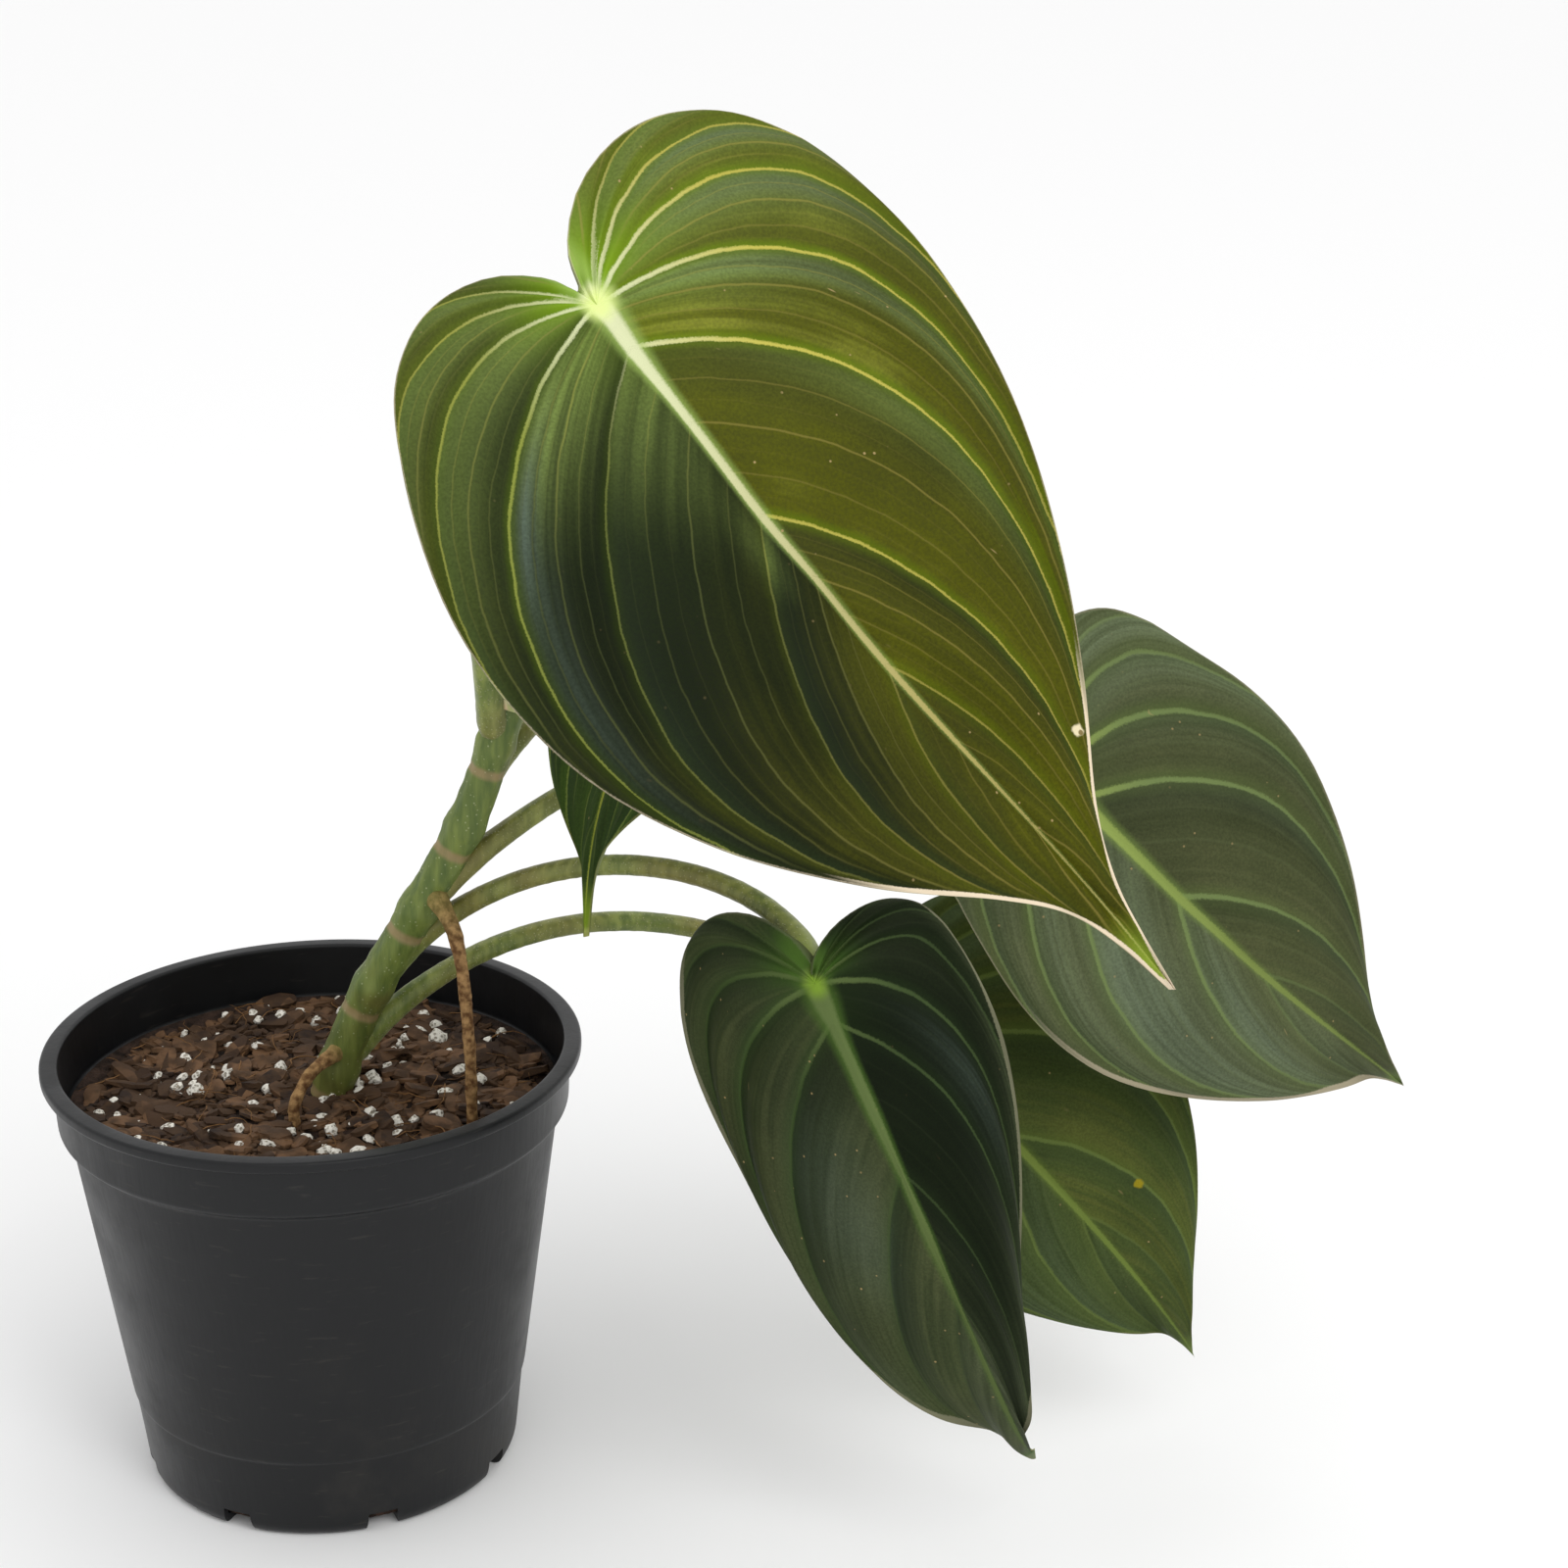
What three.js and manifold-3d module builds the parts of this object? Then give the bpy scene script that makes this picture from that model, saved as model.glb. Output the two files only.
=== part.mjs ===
// A young climbing philodendron with dark velvety heart-shaped leaves, in a plastic nursery pot.
// Millimetres, Z up. The origin is the middle of the pot's base; the front looks along +Y.
import * as THREE from 'three';
import Module from 'manifold-3d';

const wasm = await Module();
wasm.setup();

// Driving dimensions
const GAP = 0.3; // air kept between touching pieces
const POT_HEIGHT = 86;
const POT_BASE_RADIUS = 36;
const POT_RIM_RADIUS = 51;
const POT_WALL = 1.2;
const POT_FLOOR = 1.6;
const COLLAR_HEIGHT = 12;
const DRAIN_SLOTS = 8;
const SOIL_LEVEL = 76; // height of the potting mix above the pot's base
const BLADE_THICKNESS = 0.8;
const MIDRIB_DEPTH = 1.5; // how far the midrib stands out below the blade at its thick end
const MIDRIB_WIDTH = 1.8;
const PETIOLE_RADIUS = 1.9; // at the blade
const PETIOLE_FOOT_RADIUS = 3.4; // where it clasps the stem
const STEM_RADIUS = 4.0;
const ROOT_RADIUS = 1.2;

// Colours
const POT_BLACK = 0x17181a;
const BARK_BROWN = 0x4a3524;
const STEM_GREEN = 0x5f7a3a;
const PETIOLE_GREEN = 0x6f8f3c;
const LEAF_GREEN = 0x2f4420;
const SPEAR_GREEN = 0x9bb45c;
const ROOT_BROWN = 0x7a5a38;

// The flat leaf, in units of its length from petiole to tip, upper half only.
// Outline from the bottom of the notch round the lobe and along the margin to the drip tip.
const OUTLINE = [
  [-0.027, 0], [-0.07, 0.021], [-0.111, 0.074], [-0.125, 0.144], [-0.107, 0.212],
  [-0.052, 0.277], [0.06, 0.334], [0.196, 0.358], [0.364, 0.336], [0.52, 0.27],
  [0.656, 0.18], [0.768, 0.086], [0.842, 0.036], [0.915, 0.013], [1, 0],
];
// Side veins, numbered 0 at the notch to 8 at the tip: where each ends on the outline, where it
// leaves the midrib, at what angle in degrees, and how strongly it starts and arrives.
const VEIN_END = [0, 3.45, 5.45, 7.35, 9.1, 10.35, 11.3, 12.35, 14];
const VEIN_START = [0, 0, 0, 0, 0, 0.06, 0.29, 0.5, 1];
const VEIN_ANGLE = [180, 150, 138, 118, 82, 60, 42, 26, 10];
const VEIN_LEAVE = [1, 1.1, 1.35, 1.5, 1.4, 1.2, 0.8, 1, 1];
const VEIN_ARRIVE = [1, 0.8, 1.3, 1.5, 1.5, 1.5, 1.4, 1.2, 1];
const VEIN_TURN = THREE.MathUtils.degToRad(5); // angle at which a vein meets the margin
const VEINS = 8;
const ROWS_PER_VEIN = 5;
const ACROSS = [0, 0.06, 0.2, 0.45, 0.72, 1]; // columns from midrib to margin

// Leaves from the oldest to the newest. at: the petiole's joint on the blade, from the soil's middle.
// heading, pitch (tip down) and roll in degrees. arch and droop: bend along the midrib, in radians;
// fold and cup: rise beside the midrib and fall to the margin; twist along the length; wide, lobe,
// taper and shoulder shape the left [0] and right [1] half; sweep bows the midrib sideways.
// foot: height up the stem; leave: azimuth and rise in degrees of the petiole there; reach: how far
// the petiole runs straight at its foot and at the blade.
const LEAVES = [
  {
    at: [110.5, -5, 16], length: 104, heading: -21, pitch: 42, roll: 55, arch: 0.27, droop: 0.77,
    fold: 0.0, cup: 0.42, twist: 0.25, wide: [0.96, 1.05], lobe: [1, 1], taper: [-0.12, -0.15],
    shoulder: [0, 0.045], sweep: 0.01, wave: 0.012, waves: 2.3,
    foot: 0.3, leave: [14, 48], reach: [62, 42],
  },
  {
    at: [95, -48, 43], length: 123, heading: -37, pitch: 64, roll: 58, arch: -0.25, droop: 1.64,
    fold: -0.5, cup: 0.5, twist: -0.28, wide: [0.97, 0.635], lobe: [1, 0.58], taper: [0.06, -0.78],
    shoulder: [0.08, -0.03], sweep: 0.025, wave: 0.012, waves: 2.6,
    foot: 0.46, leave: [6, 50], reach: [48, 34],
  },
  {
    at: [137.5, -17, 70.5], length: 113, heading: -3, pitch: 38, roll: 65, arch: 0.23, droop: 0.66,
    fold: 0.05, cup: 0.35, twist: -0.08, wide: [0.89, 1.02], lobe: [0.985, 1.065], taper: [0, -0.43],
    shoulder: [-0.085, -0.17], sweep: -0.04, wave: 0.01, waves: 2.2,
    foot: 0.62, leave: [8, 44], reach: [62, 46],
  },
  {
    at: [82, 4, 112], length: 84, heading: -127, pitch: 34, roll: 8, arch: 0.3, droop: 0.5,
    fold: 0.15, cup: 0.4, twist: 0, wide: [0.96, 0.96], lobe: [1, 1], taper: [0, 0],
    shoulder: [0, 0], sweep: 0, wave: 0.01, waves: 2.4,
    foot: 0.78, leave: [40, 62], reach: [34, 30],
  },
  {
    at: [62, -82.5, 168], length: 137, heading: -22.5, pitch: 40, roll: 33, arch: 0.07, droop: 0.43,
    fold: 0.18, cup: 0.32, twist: 0.05, wide: [1.06, 1.045], lobe: [0.85, 1.025], taper: [0.156, -0.34],
    shoulder: [-0.006, -0.02], sweep: -0.05, wave: 0.006, waves: 2.1,
    foot: 0.93, leave: [-95, 66], reach: [62, 52],
  },
];
const SHOULDER_AT = 0.05; // where along the midrib the shoulder lies, and over what length
const SHOULDER_LENGTH = 0.2;
const QUILT = 0.0035; // how far the blade puffs up between its side veins, in leaf lengths

// The stem, from 30 mm under the soil's surface to the growing tip
const STEM_POINTS = [[0, 0, -30], [1, 0, -8], [9, -1, 16], [20, -3, 36], [31, -4, 56], [40, -6, 80]];
const SOIL_HOLE_DEPTH = 30;
const SPEAR_POINTS = [[0, 0, 0], [2, 1, 20], [2, 4, 42], [-1, 9, 62]]; // from the stem's top
// Aerial roots: foot up the stem, azimuth in degrees, distance and depth at which it enters the soil
const ROOTS = [
  { foot: 0.34, azimuth: -118, spread: 17, depth: 9 },
  { foot: 0.5, azimuth: 105, spread: 20, depth: 8 },
  { foot: 0.66, azimuth: -60, spread: 15, depth: 9 },
];

const degrees = THREE.MathUtils.degToRad;
const vector = (a) => new THREE.Vector3(a[0], a[1], a[2]);

// Smooth curve through evenly numbered values: value and slope at position u
function spline(values, u) {
  const last = values.length - 1;
  const i = Math.min(Math.floor(u), last - 1);
  const t = u - i;
  const slope = (k) => {
    if (k === 0) return values[1] - values[0];
    if (k === last) return values[last] - values[last - 1];
    return (values[k + 1] - values[k - 1]) / 2;
  };
  const [a, b, p, q] = [values[i], values[i + 1], slope(i), slope(i + 1)];
  const value = (2 * t ** 3 - 3 * t * t + 1) * a + (t ** 3 - 2 * t * t + t) * p
    + (3 * t * t - 2 * t ** 3) * b + (t ** 3 - t * t) * q;
  const rate = (6 * t * t - 6 * t) * (a - b) + (3 * t * t - 4 * t + 1) * p + (3 * t * t - 2 * t) * q;
  return [value, rate];
}

// Point of the flat leaf on side vein f, at t from the midrib (0) to the margin (1)
function flatPoint(f, t) {
  const end = spline(VEIN_END, f)[0];
  const start = Math.max(0, spline(VEIN_START, f)[0]);
  const angle = degrees(spline(VEIN_ANGLE, f)[0]);
  const [ex, dx] = spline(OUTLINE.map((p) => p[0]), end);
  const [ey, dy] = spline(OUTLINE.map((p) => p[1]), end);
  const along = new THREE.Vector2(dx, dy).normalize().rotateAround(new THREE.Vector2(), VEIN_TURN);
  const arrive = new THREE.Vector2(-1, 0).lerp(along, Math.min(f, 1)).normalize();
  const chord = Math.hypot(ex - start, ey);
  const leave = chord * spline(VEIN_LEAVE, f)[0];
  const come = chord * spline(VEIN_ARRIVE, f)[0];
  const [h0, h1] = [t ** 3 - 2 * t * t + t, t ** 3 - t * t];
  const blend = 3 * t * t - 2 * t ** 3;
  return [
    start + (ex - start) * blend + h0 * leave * Math.cos(angle) + h1 * come * arrive.x,
    ey * blend + h0 * leave * Math.sin(angle) + h1 * come * arrive.y,
  ];
}

// Midrib of a bent leaf at x: position in its lengthwise plane and bend angle there
function midrib(leaf, x) {
  const steps = 12;
  let [along, up] = [0, 0];
  for (let i = 0; i < steps; i += 1) {
    const s = x * (i + 0.5) / steps;
    const bend = leaf.arch * s + leaf.droop * s * s;
    along += Math.cos(bend) * x / steps;
    up -= Math.sin(bend) * x / steps;
  }
  return [along, up, leaf.arch * x + leaf.droop * x * x];
}

// Point of a leaf's upper face in its own frame (X to the tip, Z out of the upper face), moved
// by depth millimetres below that face. side is 1 for the half at +Y and -1 for the other.
function bladePoint(leaf, side, f, t, depth) {
  const half = side > 0 ? 1 : 0;
  const [x0, y0] = flatPoint(f, t);
  const x = x0 < 0 ? x0 * leaf.lobe[half] : x0;
  const shoulder = leaf.shoulder[half] * Math.exp(-(((x0 - SHOULDER_AT) / SHOULDER_LENGTH) ** 2));
  const u = y0 * leaf.wide[half] * (1 + leaf.taper[half] * (x0 - 0.3) + shoulder);
  const rate = leaf.cup / 0.34;
  const tilt = leaf.fold - rate * u;
  const across = side * (Math.sin(leaf.fold) - Math.sin(tilt)) / rate;
  const rise = (Math.cos(tilt) - Math.cos(leaf.fold)) / rate;
  const [along, up, bend] = midrib(leaf, x);
  const turn = leaf.twist * x;
  const puff = -QUILT * Math.cos(2 * Math.PI * f) * 4 * t * (1 - t);
  const ripple = leaf.wave * Math.sin(2 * Math.PI * leaf.waves * (f / VEINS + 0.15 * side)) * t ** 3;
  const lift = puff + ripple - depth / leaf.length;
  const lean = y0 > 0 ? side * tilt : 0;
  const y = across * Math.cos(turn) - rise * Math.sin(turn) - lift * Math.sin(lean + turn);
  const z = across * Math.sin(turn) + rise * Math.cos(turn) + lift * Math.cos(lean + turn);
  const sweep = leaf.sweep * Math.sin(Math.PI * THREE.MathUtils.clamp(x, 0, 1));
  const point = new THREE.Vector3(along + Math.sin(bend) * z, y + sweep, up + Math.cos(bend) * z);
  return point.multiplyScalar(leaf.length);
}

// Depth of the underside: the blade's thickness and the midrib's ridge, which thins to the tip
function undersideDepth(leaf, f, t) {
  const [x, y] = flatPoint(f, t);
  const ridge = Math.exp(-((y * leaf.length / MIDRIB_WIDTH) ** 2));
  return BLADE_THICKNESS + MIDRIB_DEPTH * (1 - 0.85 * THREE.MathUtils.clamp(x, 0, 1)) * ridge;
}

// Closed solid of one leaf: both halves, split alike on both faces
function bladeSolid(leaf) {
  const positions = [];
  const index = [];
  const seen = new Map();
  const rows = VEINS * ROWS_PER_VEIN;
  const last = ACROSS.length - 1;
  const vertex = (face, side, row, column) => {
    const f = row / ROWS_PER_VEIN;
    const start = Math.max(0, spline(VEIN_START, f)[0]);
    let key = `${side},${row},${column}`;
    if (row === 0) key = `notch,${column}`;
    if (column === 0) key = start > 0 ? `rib,${row}` : 'joint';
    if (row === rows) key = 'tip';
    key = `${face},${key}`;
    if (!seen.has(key)) {
      const depth = face === 'upper' ? 0 : undersideDepth(leaf, f, ACROSS[column]);
      seen.set(key, positions.length / 3);
      positions.push(...bladePoint(leaf, side, f, ACROSS[column], depth).toArray());
    }
    return seen.get(key);
  };
  const triangle = (a, b, c, flip) => {
    if (a !== b && b !== c && c !== a) index.push(...(flip ? [a, c, b] : [a, b, c]));
  };
  for (const side of [1, -1]) {
    for (let row = 0; row < rows; row += 1) {
      for (let column = 0; column < last; column += 1) {
        for (const face of ['upper', 'lower']) {
          const corner = (r, c) => vertex(face, side, row + r, column + c);
          const flip = (side > 0) === (face === 'upper');
          triangle(corner(0, 0), corner(0, 1), corner(1, 1), flip);
          triangle(corner(0, 0), corner(1, 1), corner(1, 0), flip);
        }
      }
      const [a, b] = [vertex('upper', side, row, last), vertex('upper', side, row + 1, last)];
      const [c, d] = [vertex('lower', side, row, last), vertex('lower', side, row + 1, last)];
      triangle(a, c, d, side > 0);
      triangle(a, d, b, side > 0);
    }
  }
  return closed(positions, index);
}

function closed(positions, index) {
  const geometry = new THREE.BufferGeometry();
  geometry.setAttribute('position', new THREE.Float32BufferAttribute(positions, 3));
  geometry.setIndex(index);
  return geometry;
}

// Round rod along a curve, its radius a function of the distance run (0 to 1), with flat ends
function rod(curve, radius, sides, steps) {
  const frames = curve.computeFrenetFrames(steps, false);
  const positions = [];
  const index = [];
  for (let i = 0; i <= steps; i += 1) {
    const centre = curve.getPointAt(i / steps);
    for (let k = 0; k < sides; k += 1) {
      const angle = 2 * Math.PI * k / sides;
      const out = frames.normals[i].clone().multiplyScalar(Math.cos(angle))
        .addScaledVector(frames.binormals[i], Math.sin(angle));
      positions.push(...centre.clone().addScaledVector(out, radius(i / steps)).toArray());
    }
  }
  const [first, end] = [positions.length / 3, positions.length / 3 + 1];
  positions.push(...curve.getPointAt(0).toArray(), ...curve.getPointAt(1).toArray());
  for (let k = 0; k < sides; k += 1) {
    const next = (k + 1) % sides;
    for (let i = 0; i < steps; i += 1) {
      const [a, b] = [i * sides + k, i * sides + next];
      index.push(a, b, b + sides, a, b + sides, a + sides);
    }
    index.push(first, next, k, end, steps * sides + k, steps * sides + next);
  }
  return closed(positions, index);
}

// Weld a three.js geometry, dropping slivers that its seams and poles leave
function welded(geometry) {
  const source = geometry.getAttribute('position');
  const order = geometry.index ? Array.from(geometry.index.array) : [...Array(source.count).keys()];
  const seen = new Map();
  const positions = [];
  const index = [];
  const ids = order.map((i) => {
    const point = [source.getX(i), source.getY(i), source.getZ(i)];
    const key = point.map((value) => Math.round(value * 1e4)).join();
    if (!seen.has(key)) {
      seen.set(key, positions.length / 3);
      positions.push(...point);
    }
    return seen.get(key);
  });
  for (let i = 0; i < ids.length; i += 3) {
    const [a, b, c] = ids.slice(i, i + 3);
    if (a !== b && b !== c && c !== a) index.push(a, b, c);
  }
  return closed(positions, index);
}

// Solids for joining and cutting
function toSolid(geometry) {
  const vertProperties = new Float32Array(geometry.getAttribute('position').array);
  const triVerts = new Uint32Array(geometry.index.array);
  return new wasm.Manifold(new wasm.Mesh({ numProp: 3, vertProperties, triVerts }));
}

function fromSolid(solid) {
  const mesh = solid.getMesh();
  return closed(Array.from(mesh.vertProperties), Array.from(mesh.triVerts));
}

// The largest piece left by a cut
function largest(solid) {
  return solid.decompose().sort((a, b) => b.volume() - a.volume())[0];
}

const part = new THREE.Group();
const plant = new THREE.Group();
plant.position.z = SOIL_LEVEL;
part.add(plant);

function add(parent, name, geometry, color, roughness) {
  geometry.computeVertexNormals();
  const mesh = new THREE.Mesh(geometry, new THREE.MeshStandardMaterial({ color, roughness, metalness: 0 }));
  mesh.name = name;
  parent.add(mesh);
  return mesh;
}

// Nursery pot: tapered wall, stepped collar, turned-out rim and drainage slots round the foot
const COLLAR_FOOT = POT_HEIGHT - COLLAR_HEIGHT;
const WALL_TOP_RADIUS = POT_RIM_RADIUS - 4.7;
const COLLAR_RADIUS = POT_RIM_RADIUS - 2.2;
function pot() {
  const section = [
    [0, 0], [POT_BASE_RADIUS - 1, 0], [POT_BASE_RADIUS, 1], [WALL_TOP_RADIUS, COLLAR_FOOT - 1],
    [COLLAR_RADIUS - 0.5, COLLAR_FOOT], [COLLAR_RADIUS, POT_HEIGHT - 2.5],
    [POT_RIM_RADIUS, POT_HEIGHT - 2], [POT_RIM_RADIUS, POT_HEIGHT - 0.4],
    [POT_RIM_RADIUS - 0.5, POT_HEIGHT], [COLLAR_RADIUS - POT_WALL, POT_HEIGHT],
    [COLLAR_RADIUS - 0.5 - POT_WALL, COLLAR_FOOT + 1],
    [WALL_TOP_RADIUS - POT_WALL, COLLAR_FOOT], [POT_BASE_RADIUS - POT_WALL, POT_FLOOR],
    [0, POT_FLOOR],
  ];
  const shell = new THREE.LatheGeometry(section.map(([r, z]) => new THREE.Vector2(r, z)), 48);
  shell.rotateX(Math.PI / 2);
  return shell;
}

function drainSlots() {
  const slots = [];
  for (let k = 0; k < DRAIN_SLOTS; k += 1) {
    const slot = new THREE.BoxGeometry(12, 7, 8);
    slot.translate(POT_BASE_RADIUS, 0, 0);
    slot.rotateZ(2 * Math.PI * (k + 0.5) / DRAIN_SLOTS);
    slots.push(toSolid(welded(slot)));
  }
  return wasm.Manifold.union(slots);
}
const potSolid = toSolid(welded(pot())).subtract(drainSlots());
add(part, 'nursery_pot', fromSolid(potSolid), POT_BLACK, 0.6);

// Stem with a slight swelling at each leaf
const stemCurve = new THREE.CatmullRomCurve3(STEM_POINTS.map(vector));
function stemRadius(s) {
  const swellings = LEAVES.map((leaf) => Math.exp(-(((s - leaf.foot) / 0.02) ** 2)));
  return STEM_RADIUS * (1 - 0.18 * s) + 0.5 * Math.max(...swellings);
}
const stemGeometry = rod(stemCurve, stemRadius, 12, 26);
const stemRoom = toSolid(rod(stemCurve, (s) => stemRadius(s) + GAP, 12, 26));
add(plant, 'stem', stemGeometry, STEM_GREEN, 0.55);

// The next leaf, still rolled up in its sheath, on the stem's tip
function spear(clearance) {
  const top = stemCurve.getPointAt(1);
  const up = stemCurve.getTangentAt(1);
  const foot = top.clone().addScaledVector(up, GAP);
  const points = SPEAR_POINTS.map((p) => vector(p).add(foot));
  points.splice(1, 0, foot.clone().addScaledVector(up, 6));
  const curve = new THREE.CatmullRomCurve3(points);
  const radius = (s) => 0.25 + 3.3 * Math.cos(Math.PI / 2 * s ** 1.6) ** 0.8;
  return rod(curve, (s) => radius(s) + clearance, 10, 14);
}
const spearRoom = toSolid(spear(GAP));
add(plant, 'growing_spear', spear(0), SPEAR_GREEN, 0.5);

// Petioles and blades
function bladeFrame(leaf) {
  const [h, p, r] = [degrees(leaf.heading), degrees(leaf.pitch), degrees(leaf.roll)];
  const x = new THREE.Vector3(Math.cos(p) * Math.cos(h), Math.cos(p) * Math.sin(h), -Math.sin(p));
  const level = new THREE.Vector3(-Math.sin(h), Math.cos(h), 0);
  const steep = new THREE.Vector3().crossVectors(x, level);
  const y = level.clone().multiplyScalar(Math.cos(r)).addScaledVector(steep, Math.sin(r));
  const z = new THREE.Vector3().crossVectors(x, y);
  return new THREE.Matrix4().makeBasis(x, y, z).setPosition(vector(leaf.at));
}

function petioleCurve(leaf, frame) {
  const [azimuth, rise] = leaf.leave.map(degrees);
  const out = new THREE.Vector3(Math.cos(rise) * Math.cos(azimuth), Math.cos(rise) * Math.sin(azimuth),
    Math.sin(rise));
  const foot = stemCurve.getPointAt(leaf.foot).addScaledVector(out, 1.5);
  const x = new THREE.Vector3().setFromMatrixColumn(frame, 0);
  const z = new THREE.Vector3().setFromMatrixColumn(frame, 2);
  const arrive = x.multiplyScalar(0.5).addScaledVector(z, 0.86);
  const joint = vector(leaf.at);
  return new THREE.CubicBezierCurve3(foot, foot.clone().addScaledVector(out, leaf.reach[0]),
    joint.clone().addScaledVector(arrive, -leaf.reach[1]), joint);
}

// Clasping foot, slim stalk and the thicker knee below the blade
function petioleRadius(s) {
  const foot = (PETIOLE_FOOT_RADIUS - PETIOLE_RADIUS) * Math.exp(-s / 0.09);
  const knee = 0.45 * Math.exp(-(((s - 0.95) / 0.06) ** 2));
  return PETIOLE_RADIUS + foot + knee;
}

LEAVES.forEach((leaf, i) => {
  const frame = bladeFrame(leaf);
  const blade = bladeSolid(leaf);
  const room = new THREE.BoxGeometry(24, 24, 24);
  room.translate(0, 0, 12 - BLADE_THICKNESS - MIDRIB_DEPTH - GAP);
  room.applyMatrix4(frame);
  const lowered = blade.clone().translate(0, 0, -GAP).applyMatrix4(frame);
  const cuts = [stemRoom, spearRoom, toSolid(welded(room)), toSolid(lowered)];
  const stalk = toSolid(rod(petioleCurve(leaf, frame), petioleRadius, 9, 18));
  const trimmed = largest(cuts.reduce((solid, cut) => solid.subtract(cut), stalk));
  add(plant, `petiole_${i + 1}`, fromSolid(trimmed), PETIOLE_GREEN, 0.5);
  const mesh = add(plant, `blade_${i + 1}`, blade, LEAF_GREEN, 0.6);
  mesh.position.setFromMatrixPosition(frame);
  mesh.quaternion.setFromRotationMatrix(frame);
});

// Aerial roots, from the stem's nodes down into the soil
function rootCurve(root) {
  const azimuth = degrees(root.azimuth);
  const out = new THREE.Vector3(Math.cos(azimuth), Math.sin(azimuth), 0);
  const foot = stemCurve.getPointAt(root.foot);
  const entry = new THREE.Vector3(foot.x, foot.y, 0).addScaledVector(out, root.spread);
  const shoulder = foot.clone().addScaledVector(out, root.spread * 0.7);
  return new THREE.CatmullRomCurve3([
    foot, shoulder.clone().setZ(foot.z * 0.86), entry.clone().setZ(foot.z * 0.4),
    entry.clone().setZ(1.5), entry.clone().setZ(-root.depth),
  ]);
}
const rootRadius = (s) => ROOT_RADIUS * (1 - 0.15 * s);
ROOTS.forEach((root, i) => {
  const solid = largest(toSolid(rod(rootCurve(root), rootRadius, 7, 14)).subtract(stemRoom));
  add(plant, `aerial_root_${i + 1}`, fromSolid(solid), ROOT_BROWN, 0.8);
});

// Potting mix: a plug that fills the pot, its top rough with bark chips laid by a seeded rule
let seed = 20;
function random() {
  seed = (seed * 16807) % 2147483647;
  return seed / 2147483647;
}
const SOIL_RADIUS = COLLAR_RADIUS - 0.5 - POT_WALL - GAP;
const chips = Array.from({ length: 90 }, () => {
  const angle = 2 * Math.PI * random();
  const distance = SOIL_RADIUS * Math.sqrt(random());
  return {
    x: distance * Math.cos(angle),
    y: distance * Math.sin(angle),
    radius: 3 + 4 * random(),
    height: 0.4 + 2.2 * random(),
    slope: [0.3 * (random() - 0.5), 0.3 * (random() - 0.5)],
  };
});
function soilTop(x, y) {
  const under = chips.filter((c) => Math.hypot(x - c.x, y - c.y) < c.radius)
    .map((c) => c.height + c.slope[0] * (x - c.x) + c.slope[1] * (y - c.y));
  return Math.max(-0.6, ...under);
}

function soil() {
  const [rings, sectors] = [13, 34];
  const positions = [0, 0, SOIL_LEVEL + soilTop(0, 0)];
  const index = [];
  const floor = POT_FLOOR + GAP;
  const wallRadius = (z) => POT_BASE_RADIUS - POT_WALL - GAP
    + (WALL_TOP_RADIUS - POT_BASE_RADIUS) * (z - POT_FLOOR) / (COLLAR_FOOT - POT_FLOOR);
  const ring = (radius, height) => {
    for (let k = 0; k < sectors; k += 1) {
      const angle = 2 * Math.PI * k / sectors;
      const [x, y] = [radius * Math.cos(angle), radius * Math.sin(angle)];
      positions.push(x, y, height(x, y));
    }
  };
  for (let i = 1; i <= rings; i += 1) {
    ring((SOIL_RADIUS - 0.4) * i / rings, (x, y) => SOIL_LEVEL + (i < rings ? soilTop(x, y) : -0.4));
  }
  ring(wallRadius(COLLAR_FOOT) - 0.4, () => COLLAR_FOOT + 0.6);
  ring(wallRadius(floor) - 0.4, () => floor);
  const layers = rings + 2;
  const bottom = positions.length / 3;
  positions.push(0, 0, floor);
  for (let k = 0; k < sectors; k += 1) {
    const next = (k + 1) % sectors;
    index.push(0, 1 + k, 1 + next);
    for (let i = 0; i < layers - 1; i += 1) {
      const [a, b] = [1 + i * sectors + k, 1 + i * sectors + next];
      index.push(a, a + sectors, b + sectors, a, b + sectors, b);
    }
    index.push(bottom, 1 + (layers - 1) * sectors + next, 1 + (layers - 1) * sectors + k);
  }
  return closed(positions, index);
}

// Plain holes where the stem and the roots stand
function holes() {
  const stemHole = rod(new THREE.LineCurve3(new THREE.Vector3(0, 0, -SOIL_HOLE_DEPTH - GAP),
    new THREE.Vector3(0, 0, -SOIL_HOLE_DEPTH + 1)), () => STEM_RADIUS + GAP + 0.2, 12, 1);
  const solids = [toSolid(stemHole), stemRoom];
  for (const root of ROOTS) {
    const curve = rootCurve(root);
    solids.push(toSolid(rod(curve, (s) => rootRadius(s) + GAP, 7, 14)));
    const end = curve.getPointAt(1);
    const below = new THREE.LineCurve3(end.clone().setZ(end.z - GAP), end.clone().setZ(end.z + 0.5));
    solids.push(toSolid(rod(below, () => rootRadius(1) + GAP, 7, 1)));
  }
  return wasm.Manifold.union(solids).translate([0, 0, SOIL_LEVEL]);
}
const soilSolid = largest(toSolid(soil()).subtract(holes()));
add(part, 'potting_mix', fromSolid(soilSolid), BARK_BROWN, 0.95);

export default part;
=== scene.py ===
import math

import bpy
import numpy as np
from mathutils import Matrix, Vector, noise


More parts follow.
